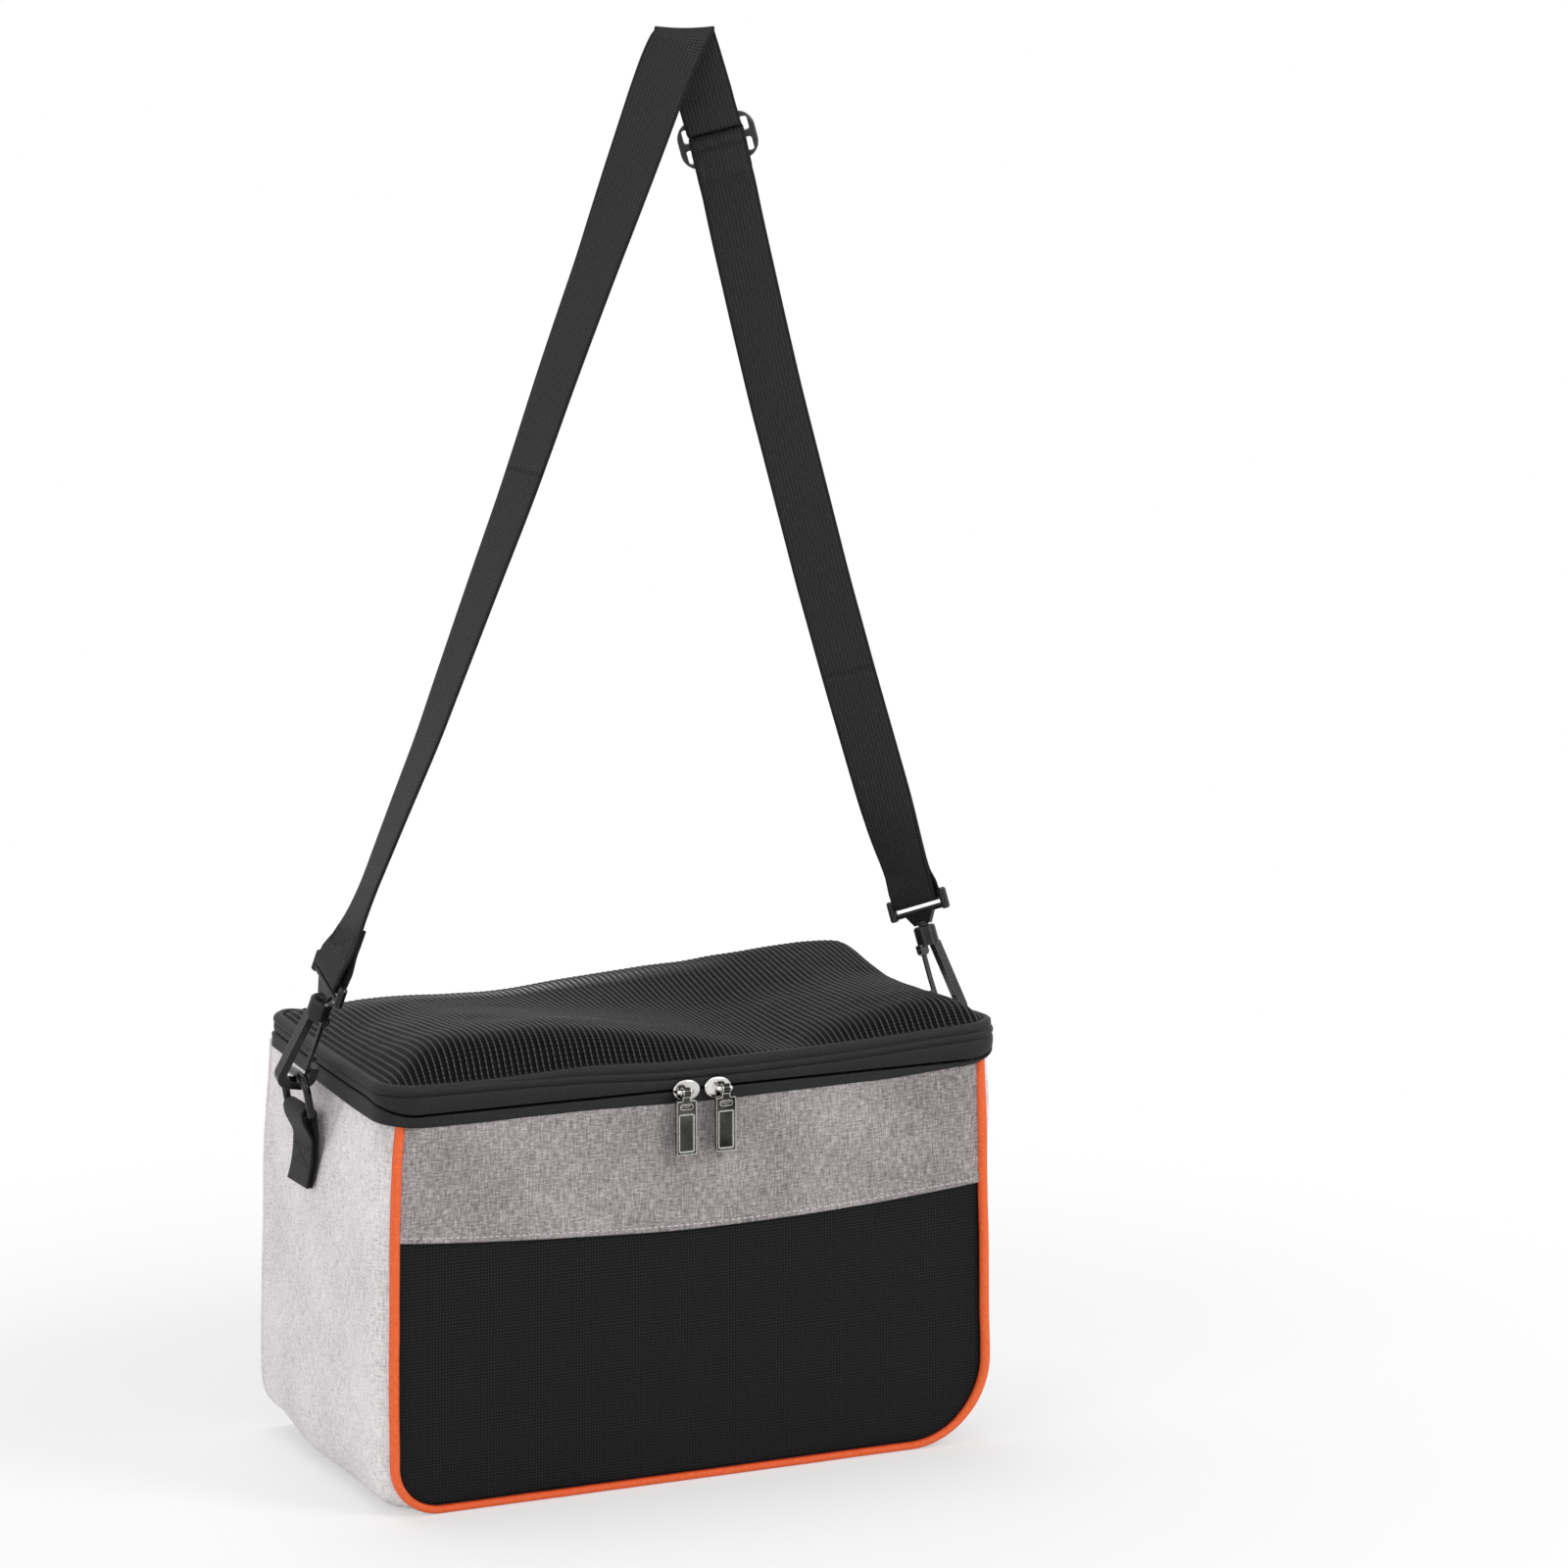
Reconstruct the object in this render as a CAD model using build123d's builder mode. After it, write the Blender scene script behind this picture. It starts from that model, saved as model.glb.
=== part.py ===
from build123d import *
from math import cos, hypot, radians, sin
import os

os.makedirs("parts", exist_ok=True)

# Small soft-sided pet carrier bag, in millimetres. +Z is up, the front with the zip pulls faces -Y,
# and the origin is the centre of the underside.

# Bag body
bag_width = 286.0
bag_depth = 157.0
wall_height = 173.5
corner_radius = 30.0
panel_thickness = 3.5
end_panel_proud = 4.5
window_thickness = 2.0
hem_height = 118.0
piping_radius = 2.2
base_board_thickness = 2.8
base_board_margin = 2.0
soft_gap = 0.3

# Rim, zip and lid
rim_proud = 1.5
rim_corner_radius = 14.0
tape_thickness = 2.5
lower_tape_height = 4.5
zip_channel = 1.6
upper_tape_height = 2.6
tape_end_inset = 12.0
coil_backing = 0.7
coil_tooth_height = 1.1
coil_depth = 1.5
coil_pitch = 3.0
coil_tooth_width = 1.5
hinge_welt_radius = 1.6
hinge_clearance = 0.4
lid_skin = 2.0
lid_crown = 16.0
lid_shoulder = 12.0

# Zip sliders and pulls
slider_length = 13.0
slider_height = 9.6
slider_plate = 1.7
slider_back_plate = 1.3
slider_post_length = 5.0
slider_clearance = 0.35
slider_spacing = 15.0
slider_shift = 1.0
crown_reach = 3.2
crown_span = 6.6
crown_shift = 2.0
crown_wire_radius = 1.0
pull_width = 9.5
pull_length = 28.0
pull_thickness = 1.9
pull_rim = 1.3
pull_recess = 0.5
pull_knuckle_width = 3.8
pull_knuckle_wall = 1.1
pull_bore_clearance = 0.1

# Webbing, tabs and rings
webbing_width = 25.0
webbing_thickness = 1.5
tab_centre_y = 2.0
tab_bottom = 133.0
tab_sewn_top = 156.0
ring_bar_offset = 9.5
ring_bar_height = 167.0
ring_wire_radius = 1.75
ring_inner_width = 27.0
ring_height = 18.1
ring_top_radius = 8.0
ring_foot_radius = 3.0

# Swivel snap hooks
hook_thickness = 5.0
hook_stock = 3.8
hook_throat = 3.0
hook_arm_reach = 8.8
hook_nose_reach = 6.6
hook_nose_top = 4.6
hook_bend_radius = 4.4
barrel_radius = 5.2
barrel_start = 30.5
barrel_end = 40.0
swivel_post_radius = 2.5
swivel_running_gap = 0.08
swivel_head_radius = 3.7
swivel_head_thickness = 2.0
swivel_pocket_gap = 0.2
gate_thickness = 1.8
gate_pivot_height = 28.5
gate_pin_radius = 0.9
gate_knuckle_radius = 2.0
gate_tip_height = 2.7
gate_knob_radius = 1.5
loop_foot_height = 40.6
loop_foot_half = 4.4
loop_shoulder_half = 8.8
loop_shoulder_height = 47.0
loop_bar_height = 53.0
loop_wire_radius = 1.3
loop_end_radius = 2.0
loop_foot_thickness = 2.2

# Three-bar adjuster on the strap
adjuster_drop = 52.0
adjuster_height = 22.0
adjuster_bar = 3.0
adjuster_thickness = 2.4
adjuster_end = 2.6
adjuster_slot_play = 5.0
adjuster_shift = 1.6
sewn_end_length = 17.0

# Held-up rest pose of the strap: where each hook bears on its ring, which way it leans, and the fold
left_ring_step = Vector(-3.0, -6.0, 17.85)
right_ring_step = Vector(6.0, 1.0, 17.1)
left_lean = Vector(9.2, -20.0, 48.0)
right_lean = Vector(-8.0, 16.0, 49.9)
left_loop_turn = -86.0
right_loop_turn = -60.0
strap_apex_x = 27.5
strap_apex_y = -5.0
strap_apex_z = 639.3
apex_turn = -25.0

# Derived places
strap_apex = Vector(strap_apex_x, strap_apex_y, strap_apex_z)
half_width = bag_width / 2
half_depth = bag_depth / 2
end_face = half_width + end_panel_proud
inner_face = end_face - panel_thickness
ring_x = end_face + ring_bar_offset
left_bow = Vector(-ring_x, tab_centre_y, ring_bar_height) + left_ring_step
right_bow = Vector(ring_x, tab_centre_y, ring_bar_height) + right_ring_step
front_face = half_depth + rim_proud / 3
rim_half_width = end_face
rim_half_depth = half_depth + rim_proud
zip_low = wall_height + lower_tape_height
zip_mid = zip_low + zip_channel / 2
zip_high = zip_low + zip_channel
lid_seat = zip_high + upper_tape_height
hinge_y = half_depth + hinge_welt_radius / 3
lid_back = hinge_y - hinge_welt_radius - hinge_clearance
lid_half_depth = (rim_half_depth + lid_back) / 2
lid_centre_y = (lid_back - rim_half_depth) / 2
coil_face = rim_half_depth - tape_thickness


def wall_outline(half, bottom, radius):
    """Closed front outline of the bag: straight sides, rounded bottom corners, flat top edge."""
    with BuildLine() as outline:
        left = (-half, wall_height)
        right = (half, wall_height)
        FilletPolyline(left, (-half, bottom), (half, bottom), right, radius=radius)
        Line(right, left)
    make_face(outline.edges())


# Wall panels

with BuildPart() as front_upper_panel:
    with BuildSketch(Plane.XZ.offset(front_face - panel_thickness)):
        wall_outline(half_width - piping_radius, 2 * piping_radius, corner_radius - piping_radius)
        with Locations((0, hem_height / 2)):
            Rectangle(2 * bag_width, hem_height, mode=Mode.SUBTRACT)
    extrude(amount=panel_thickness)
front_upper_panel.part.label = "front_upper_panel"
export_step(front_upper_panel.part, "parts/front_upper_panel.step")

with BuildPart() as front_mesh_window:
    with BuildSketch(Plane.XZ.offset(front_face - panel_thickness)):
        wall_outline(half_width - piping_radius, 2 * piping_radius, corner_radius - piping_radius)
        with Locations((0, hem_height + wall_height / 2)):
            Rectangle(2 * bag_width, wall_height, mode=Mode.SUBTRACT)
    extrude(amount=window_thickness)
front_mesh_window.part.label = "front_mesh_window"
export_step(front_mesh_window.part, "parts/front_mesh_window.step")

gusset_front = half_depth - piping_radius
gusset_back = half_depth - panel_thickness
gusset_depth = gusset_front + gusset_back
gusset_radius = corner_radius + end_panel_proud
seam_x = end_face - gusset_radius

with BuildPart() as back_panel:
    with BuildSketch(Plane.XZ.offset(-half_depth)):
        wall_outline(end_face, 0, gusset_radius)
    extrude(amount=panel_thickness)
    back_edges = back_panel.edges().group_by(Axis.Y)[-1]
    fillet(back_edges.filter_by(lambda e: e.center().Z < wall_height - 1), panel_thickness / 2)
back_panel.part.label = "back_panel"
export_step(back_panel.part, "parts/back_panel.step")

for side, name in ((-1, "left_end_panel"), (1, "right_end_panel")):
    with BuildPart() as end_panel:
        with BuildSketch(Plane.XZ.offset(-gusset_back)):
            wall_outline(end_face, 0, gusset_radius)
            with BuildSketch(mode=Mode.PRIVATE) as cavity:
                with BuildLine():
                    cavity_path = FilletPolyline(
                        (-inner_face, 2 * wall_height),
                        (-inner_face, panel_thickness),
                        (inner_face, panel_thickness),
                        (inner_face, 2 * wall_height),
                        radius=gusset_radius - panel_thickness,
                    )
                    Line(cavity_path @ 1, cavity_path @ 0)
                make_face()
            add(cavity.sketch, mode=Mode.SUBTRACT)
            with Locations((side * (seam_x - bag_width), wall_height / 2)):
                Rectangle(2 * bag_width, 2 * wall_height, mode=Mode.SUBTRACT)
        extrude(amount=gusset_depth)
    end_panel.part.label = name
    export_step(end_panel.part, f"parts/{name}.step")

with BuildPart() as bottom_panel:
    with BuildSketch(Plane.XY):
        with Locations((0, (gusset_back - gusset_front) / 2)):
            Rectangle(2 * seam_x, gusset_depth)
    extrude(amount=panel_thickness)
bottom_panel.part.label = "bottom_panel"
export_step(bottom_panel.part, "parts/bottom_panel.step")

board_low = panel_thickness + soft_gap
board_half_depth = gusset_back - 1.5

with BuildPart() as base_board:
    with BuildSketch(Plane.XY.offset(board_low)):
        RectangleRounded(2 * (seam_x + base_board_margin), 2 * board_half_depth, 8)
    extrude(amount=base_board_thickness)
    fillet(base_board.edges().group_by(Axis.Z)[-1], base_board_thickness / 3)
base_board.part.label = "base_board"
export_step(base_board.part, "parts/base_board.step")

with BuildPart() as front_piping:
    with BuildLine(Plane.XZ.offset(half_depth)):
        piping_path = FilletPolyline(
            (-half_width, wall_height - soft_gap),
            (-half_width, piping_radius),
            (half_width, piping_radius),
            (half_width, wall_height - soft_gap),
            radius=corner_radius,
        )
    with BuildSketch(Plane(origin=piping_path @ 0, z_dir=piping_path % 0)):
        Circle(piping_radius)
    sweep()
front_piping.part.label = "front_piping"
export_step(front_piping.part, "parts/front_piping.step")

# Rim: tape and coil of the zip on the bag's side, and the welt that the lid hinges on


def rim_ring(half_x, front_y, back_y, radius, wall):
    """Plan outline of a band that follows the rounded rim."""
    with Locations((0, (back_y - front_y) / 2)):
        RectangleRounded(2 * half_x, front_y + back_y, radius)
        RectangleRounded(2 * (half_x - wall), front_y + back_y - 2 * wall, radius - wall, mode=Mode.SUBTRACT)


with BuildPart() as lower_zip_tape:
    with BuildSketch(Plane.XY.offset(wall_height)):
        rim_ring(rim_half_width, rim_half_depth, rim_half_depth, rim_corner_radius, tape_thickness)
        with Locations((0, rim_half_depth)):
            Rectangle(2 * bag_width, 2 * tape_end_inset, mode=Mode.SUBTRACT)
    extrude(amount=lower_tape_height)
lower_zip_tape.part.label = "lower_zip_tape"
export_step(lower_zip_tape.part, "parts/lower_zip_tape.step")

run_front = rim_half_width - rim_corner_radius
run_side_low = -rim_half_depth + rim_corner_radius
run_side_high = lid_back - rim_corner_radius
side_run = run_side_high - run_side_low
front_teeth = int(2 * run_front / coil_pitch)
side_teeth = int(side_run / coil_pitch)


def coil_rows(edge, way, shift):
    """One half of the zip chain: a backing cord with teeth that point to the other half."""
    backing_mid = edge - way * (coil_tooth_height + coil_backing / 2)
    tooth_mid = edge - way * coil_tooth_height / 2
    with BuildSketch(Plane.XZ.offset(coil_face - coil_depth)) as front_row:
        with Locations((0, backing_mid)):
            Rectangle(2 * run_front, coil_backing)
        with Locations((shift, tooth_mid)):
            with GridLocations(coil_pitch, 1, front_teeth - 1, 1):
                Rectangle(coil_tooth_width, coil_tooth_height)
    extrude(front_row.sketch, amount=coil_depth)
    inner_x = rim_half_width - tape_thickness
    side_mid = (run_side_low + run_side_high) / 2
    for low_x in (-inner_x, inner_x - coil_depth):
        with BuildSketch(Plane.YZ.offset(low_x)) as side_row:
            with Locations((side_mid, backing_mid)):
                Rectangle(side_run, coil_backing)
            with Locations((side_mid + shift, tooth_mid)):
                with GridLocations(coil_pitch, 1, side_teeth - 1, 1):
                    Rectangle(coil_tooth_width, coil_tooth_height)
        extrude(side_row.sketch, amount=coil_depth)
    with BuildSketch(Plane.XY.offset(backing_mid - coil_backing / 2)) as corners:
        rim_ring(inner_x, coil_face, coil_face, rim_corner_radius - tape_thickness, coil_depth)
        with Locations((0, rim_half_depth + run_side_low)):
            Rectangle(2 * bag_width, 2 * rim_half_depth, mode=Mode.SUBTRACT)
        Rectangle(2 * run_front, 2 * bag_depth, mode=Mode.SUBTRACT)
    extrude(corners.sketch, amount=coil_backing)


with BuildPart() as lower_zip_coil:
    coil_rows(zip_low, 1, 0)
lower_zip_coil.part.label = "lower_zip_coil"
export_step(lower_zip_coil.part, "parts/lower_zip_coil.step")

with BuildPart() as rear_binding:
    with BuildSketch(Plane.YZ.offset(-end_face + rim_corner_radius)):
        with Locations((half_depth - panel_thickness / 2, (wall_height + zip_mid) / 2)):
            Rectangle(panel_thickness, zip_mid - wall_height)
        with Locations((hinge_y, zip_mid)):
            Circle(hinge_welt_radius, mode=Mode.SUBTRACT)
    extrude(amount=2 * (end_face - rim_corner_radius))
rear_binding.part.label = "rear_binding"
export_step(rear_binding.part, "parts/rear_binding.step")

with BuildPart() as hinge_welt:
    with BuildSketch(Plane.YZ.offset(-end_face + rim_corner_radius)):
        with Locations((hinge_y, zip_mid)):
            Circle(hinge_welt_radius)
    extrude(amount=2 * (end_face - rim_corner_radius))
hinge_welt.part.label = "hinge_welt"
export_step(hinge_welt.part, "parts/hinge_welt.step")

# Lid: rim tape and coil, round piping and crowned mesh panel

with BuildPart() as lid_rim_tape:
    with BuildSketch(Plane.XY.offset(zip_high)):
        rim_ring(rim_half_width, rim_half_depth, lid_back, rim_corner_radius, tape_thickness)
    extrude(amount=upper_tape_height)
lid_rim_tape.part.label = "lid_rim_tape"
export_step(lid_rim_tape.part, "parts/lid_rim_tape.step")

with BuildPart() as upper_zip_coil:
    coil_rows(zip_high, -1, coil_pitch / 2)
upper_zip_coil.part.label = "upper_zip_coil"
export_step(upper_zip_coil.part, "parts/upper_zip_coil.step")

piping_half_x = rim_half_width - piping_radius
piping_front = rim_half_depth - piping_radius
piping_back = lid_back - piping_radius
piping_z = lid_seat + piping_radius

with BuildPart() as lid_piping:
    with BuildLine(Plane.XY.offset(piping_z)):
        lid_path = FilletPolyline(
            (0, -piping_front),
            (-piping_half_x, -piping_front),
            (-piping_half_x, piping_back),
            (0, piping_back),
            radius=rim_corner_radius - piping_radius,
        )
    with BuildSketch(Plane(origin=lid_path @ 0, z_dir=lid_path % 0)):
        Circle(piping_radius)
    sweep()
    mirror(about=Plane.YZ)
lid_piping.part.label = "lid_piping"
export_step(lid_piping.part, "parts/lid_piping.step")

mesh_half_x = piping_half_x - piping_radius
mesh_half_y = lid_half_depth - 2 * piping_radius


def crown(shrink, drop):
    """Sections of a low pillow that rises from the rim and is highest behind the middle."""
    sections = []
    for share, inset, shift in ((0, 0, 0), (0.65, lid_shoulder, 0), (0.9, 2 * lid_shoulder, 0), (1, 4 * lid_shoulder, 0)):
        with BuildSketch(Plane.XY.offset(lid_seat + share * lid_crown - drop)) as section:
            with Locations((0, lid_centre_y + shift * lid_shoulder)):
                RectangleRounded(
                    2 * (mesh_half_x - shrink - inset),
                    2 * (mesh_half_y - shrink - inset),
                    rim_corner_radius - 2 * piping_radius,
                )
        sections.append(section.sketch)
    return sections


with BuildPart() as lid_mesh:
    loft(crown(0, 0), ruled=True)
    loft(crown(lid_skin, lid_skin), ruled=True, mode=Mode.SUBTRACT)
lid_mesh.part.label = "lid_mesh"
export_step(lid_mesh.part, "parts/lid_mesh.step")

# Zip sliders, each with a crown bar that its pull swings on

slider_front = rim_half_depth + slider_clearance
slider_back = coil_face - coil_depth - slider_clearance
slider_back_height = 2 * (lid_seat - zip_mid - soft_gap)
crown_y = -(slider_front + slider_plate + crown_reach)

for side, name in ((-1, "left"), (1, "right")):
    centre_x = slider_shift + side * slider_spacing / 2
    crown_x = centre_x + side * crown_shift
    with BuildPart() as slider:
        with BuildSketch(Plane.XZ.offset(slider_front)):
            with Locations((centre_x, zip_mid)):
                Ellipse(slider_length / 2, slider_height / 2)
        extrude(amount=slider_plate)
        fillet(slider.edges().group_by(Axis.Y)[0], slider_plate / 2)
        with BuildSketch(Plane.XZ.offset(slider_back - slider_back_plate)):
            with Locations((centre_x, zip_mid)):
                Ellipse(slider_length / 2, slider_back_height / 2)
        extrude(amount=slider_back_plate)
        with BuildSketch(Plane.XZ.offset(slider_back)):
            with Locations((centre_x, zip_mid)):
                SlotOverall(slider_post_length, zip_channel - 2 * slider_clearance)
        extrude(amount=slider_front - slider_back)
        with BuildLine(Plane.XY.offset(zip_mid)):
            foot_y = -(slider_front + slider_plate / 2)
            crown_path = FilletPolyline(
                (crown_x - crown_span / 2, foot_y),
                (crown_x - crown_span / 2, crown_y),
                (crown_x + crown_span / 2, crown_y),
                (crown_x + crown_span / 2, foot_y),
                radius=1.3,
            )
        with BuildSketch(Plane(origin=crown_path @ 0, z_dir=crown_path % 0)):
            Circle(crown_wire_radius)
        sweep()
    slider.part.label = f"zip_slider_{name}"
    export_step(slider.part, f"parts/zip_slider_{name}.step")

    knuckle_bore = crown_wire_radius + pull_bore_clearance
    knuckle_radius = knuckle_bore + pull_knuckle_wall
    with BuildPart() as pull:
        with BuildSketch(Plane.YZ.offset(crown_x - pull_knuckle_width / 2)):
            with Locations((crown_y, zip_mid)):
                Circle(knuckle_radius)
            with Locations((crown_y, zip_mid - knuckle_radius - 1)):
                Rectangle(pull_thickness, 2 * knuckle_radius)
            with Locations((crown_y, zip_mid)):
                Circle(knuckle_bore, mode=Mode.SUBTRACT)
        extrude(amount=pull_knuckle_width)
        tab_top = zip_mid - knuckle_radius - 1.5
        tab_low = zip_mid - pull_length
        with BuildSketch(Plane.XZ.offset(-crown_y - pull_thickness / 2)):
            with Locations((crown_x, (tab_top + tab_low) / 2)):
                RectangleRounded(pull_width, tab_top - tab_low, 0.8)
        extrude(amount=pull_thickness)
        with BuildSketch(Plane.XZ.offset(-crown_y + pull_thickness / 2 - pull_recess)):
            with Locations((crown_x, (tab_top + tab_low - 5) / 2)):
                RectangleRounded(pull_width - 2 * pull_rim, tab_top - tab_low - 5 - 2 * pull_rim, 0.5)
        extrude(amount=pull_recess, mode=Mode.SUBTRACT)
        with BuildSketch(Plane.XZ.offset(-crown_y - pull_thickness)):
            with Locations((crown_x, tab_top - pull_rim - 1.4)):
                SlotOverall(pull_width - 3 * pull_rim, 2.0)
        extrude(amount=2 * pull_thickness, mode=Mode.SUBTRACT)
    pull.part.label = f"zip_pull_{name}"
    export_step(pull.part, f"parts/zip_pull_{name}.step")

# Webbing tabs sewn to the end panels, looped round the straight bar of each ring

tab_hole = ring_wire_radius + soft_gap
tab_eye = tab_hole + webbing_thickness
tab_plies = 2 * webbing_thickness

for side, name in ((-1, "left_tab"), (1, "right_tab")):
    bar_x = end_face + ring_bar_offset
    with BuildPart() as tab:
        with BuildSketch(Plane.XZ.offset(-tab_centre_y - webbing_width / 2)):
            with BuildLine():
                panel_side = Line((side * end_face, tab_bottom), (side * end_face, tab_sewn_top))
                outer_side = Line(
                    (side * (end_face + tab_plies), tab_bottom),
                    (side * (end_face + tab_plies), tab_sewn_top),
                )
                Line(panel_side @ 0, outer_side @ 0)
                Line(panel_side @ 1, outer_side @ 1)
            make_face()
            with BuildSketch(mode=Mode.PRIVATE) as neck:
                with Locations((side * bar_x, ring_bar_height)):
                    Circle(tab_eye)
                with Locations((side * (end_face + tab_plies / 2), tab_sewn_top - 1)):
                    Rectangle(tab_plies, 2)
                make_hull()
            add(neck.sketch)
            with Locations((side * bar_x, ring_bar_height)):
                Circle(tab_hole, mode=Mode.SUBTRACT)
        extrude(amount=webbing_width)
    tab.part.label = name
    export_step(tab.part, f"parts/{name}.step")


def lean_frame(bow, lean, inward):
    """Unit vectors of a hook: along its swivel axis, and across it towards the bag."""
    along = lean.normalized()
    across = (inward - along * inward.dot(along)).normalized()
    return along, across


def turned(angle):
    """Level unit vector at an angle from +X, in degrees."""
    return Vector(cos(radians(angle)), sin(radians(angle)), 0)


for side, name, bow, lean, turn in (
    (-1, "left", left_bow, left_lean, left_loop_turn),
    (1, "right", right_bow, right_lean, right_loop_turn),
):
    along, across = lean_frame(bow, lean, Vector(-side, 0, 0))

    # Ring: half of the bent wire from the middle of the bar to the middle of the bow, then its mirror
    bar_mid = Vector(side * (end_face + ring_bar_offset), tab_centre_y, ring_bar_height)
    ring_up = Vector(bow.X - bar_mid.X, 0, bow.Z - bar_mid.Z).normalized()
    ring_plane = Plane(origin=bar_mid, x_dir=Vector(0, 1, 0), z_dir=Vector(0, 1, 0).cross(ring_up))
    ring_half = ring_inner_width / 2 + ring_wire_radius
    with BuildPart() as ring:
        with BuildLine(ring_plane):
            ring_path = FilletPolyline(
                (0, 0),
                (-ring_half, 0),
                (-ring_half, ring_height),
                (0, ring_height),
                radius=(ring_foot_radius, ring_top_radius),
            )
        with BuildSketch(Plane(origin=ring_path @ 0, z_dir=ring_path % 0)):
            Circle(ring_wire_radius)
        sweep()
        mirror(about=Plane.XZ.offset(-tab_centre_y))
    ring.part.label = f"d_ring_{name}"
    export_step(ring.part, f"parts/d_ring_{name}.step")

    # Hook: a J of flat stock under a barrel that is bored for the swivel post
    hook_plane = Plane(origin=bow, x_dir=across, z_dir=across.cross(along))
    bend_low = -(hook_throat + hook_stock / 2)
    arm_root = barrel_radius - hook_stock / 2
    half_stock = hook_thickness / 2
    pocket_low = barrel_start + 2.8
    pocket_high = pocket_low + swivel_head_thickness + 2 * swivel_pocket_gap
    gate_root = barrel_radius - gate_knuckle_radius + 0.6
    with BuildPart() as hook:
        with BuildSketch(hook_plane.offset(-half_stock)):
            with BuildLine():
                FilletPolyline(
                    (-arm_root, barrel_start + 1),
                    (-hook_arm_reach, bend_low),
                    (hook_nose_reach, bend_low),
                    (hook_nose_reach, hook_nose_top),
                    radius=hook_bend_radius,
                )
            trace(line_width=hook_stock)
        extrude(amount=hook_thickness)
        with BuildSketch(Plane(origin=bow + along * barrel_start, x_dir=across, z_dir=along)):
            Circle(barrel_radius)
        extrude(amount=barrel_end - barrel_start)
        chamfer(hook.edges().filter_by(GeomType.CIRCLE).sort_by(lambda e: (e.center() - bow).dot(along))[-1], 0.8)
        for lug in (-half_stock, half_stock - 1.4):
            with BuildSketch(hook_plane.offset(lug)):
                with Locations((gate_root, gate_pivot_height)):
                    Circle(gate_knuckle_radius)
                with Locations((gate_root, (gate_pivot_height + barrel_start + 1) / 2)):
                    Rectangle(2 * gate_knuckle_radius, barrel_start + 1 - gate_pivot_height)
                with Locations((gate_root, gate_pivot_height)):
                    Circle(gate_pin_radius, mode=Mode.SUBTRACT)
            extrude(amount=1.4)
        with BuildSketch(Plane(origin=bow + along * pocket_low, x_dir=across, z_dir=along)):
            Circle(swivel_head_radius + 0.3)
        extrude(amount=pocket_high - pocket_low, mode=Mode.SUBTRACT)
        with BuildSketch(Plane(origin=bow + along * pocket_low, x_dir=across, z_dir=along)):
            Circle(swivel_post_radius + swivel_running_gap)
        extrude(amount=barrel_end - pocket_low + 1, mode=Mode.SUBTRACT)
    hook.part.label = f"snap_hook_{name}"
    export_step(hook.part, f"parts/snap_hook_{name}.step")

    with BuildPart() as pin:
        with BuildSketch(hook_plane.offset(-half_stock)):
            with Locations((gate_root, gate_pivot_height)):
                Circle(gate_pin_radius)
        extrude(amount=hook_thickness)
    pin.part.label = f"gate_pin_{name}"
    export_step(pin.part, f"parts/gate_pin_{name}.step")

    # Gate: a leaf on the pin whose tip closes against the inside of the nose
    leaf_half = half_stock - 1.4 - 0.15
    gate_x = hook_nose_reach - hook_stock / 2 - soft_gap - gate_thickness / 2
    with BuildPart() as gate:
        with BuildSketch(hook_plane.offset(-leaf_half)):
            with Locations((gate_root, gate_pivot_height)):
                Circle(gate_knuckle_radius)
            with BuildLine():
                Polyline((gate_root, gate_pivot_height - 1), (gate_x + 0.4, gate_pivot_height * 0.55), (gate_x, gate_tip_height + gate_thickness / 2))
            trace(line_width=gate_thickness)
            knob_height = hook_nose_top + hook_stock / 2 + gate_knob_radius + 0.6
            with Locations((gate_x + gate_thickness / 2 + 0.6, knob_height)):
                Circle(gate_knob_radius)
            with Locations((gate_root, gate_pivot_height)):
                Circle(gate_pin_radius + swivel_running_gap, mode=Mode.SUBTRACT)
        extrude(amount=2 * leaf_half)
    gate.part.label = f"snap_gate_{name}"
    export_step(gate.part, f"parts/snap_gate_{name}.step")

    # Swivel loop: post and captive head in the barrel, under a bent frame for the webbing
    bar_way = (turned(turn) - along * turned(turn).dot(along)).normalized()
    loop_plane = Plane(origin=bow, x_dir=bar_way, z_dir=bar_way.cross(along))
    loop_half = webbing_width / 2 + 2 * soft_gap + loop_end_radius
    end_low = loop_shoulder_height - loop_end_radius
    with BuildPart() as swivel_loop:
        for end in (-loop_half, loop_half):
            with BuildSketch(Plane(origin=bow + along * end_low + bar_way * end, x_dir=across, z_dir=along)):
                Circle(loop_end_radius)
            extrude(amount=loop_bar_height + loop_end_radius - end_low)
        chamfer(swivel_loop.edges().filter_by(GeomType.CIRCLE), 0.7)
        for height in (loop_shoulder_height, loop_bar_height):
            with BuildSketch(Plane(origin=bow + along * height - bar_way * loop_half, x_dir=along, z_dir=bar_way)):
                Circle(loop_wire_radius)
            extrude(amount=2 * loop_half)
        with BuildSketch(loop_plane.offset(-loop_foot_thickness / 2)):
            Polygon(
                (-loop_shoulder_half, loop_shoulder_height),
                (-loop_foot_half, loop_foot_height),
                (loop_foot_half, loop_foot_height),
                (loop_shoulder_half, loop_shoulder_height),
                align=None,
            )
        extrude(amount=loop_foot_thickness)
        with BuildSketch(Plane(origin=bow + along * (pocket_low + swivel_pocket_gap), x_dir=across, z_dir=along)):
            Circle(swivel_head_radius)
        extrude(amount=swivel_head_thickness)
        with BuildSketch(Plane(origin=bow + along * (pocket_low + swivel_pocket_gap), x_dir=across, z_dir=along)):
            Circle(swivel_post_radius)
        extrude(amount=loop_foot_height + 1 - pocket_low)
    swivel_loop.part.label = f"swivel_loop_{name}"
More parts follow.
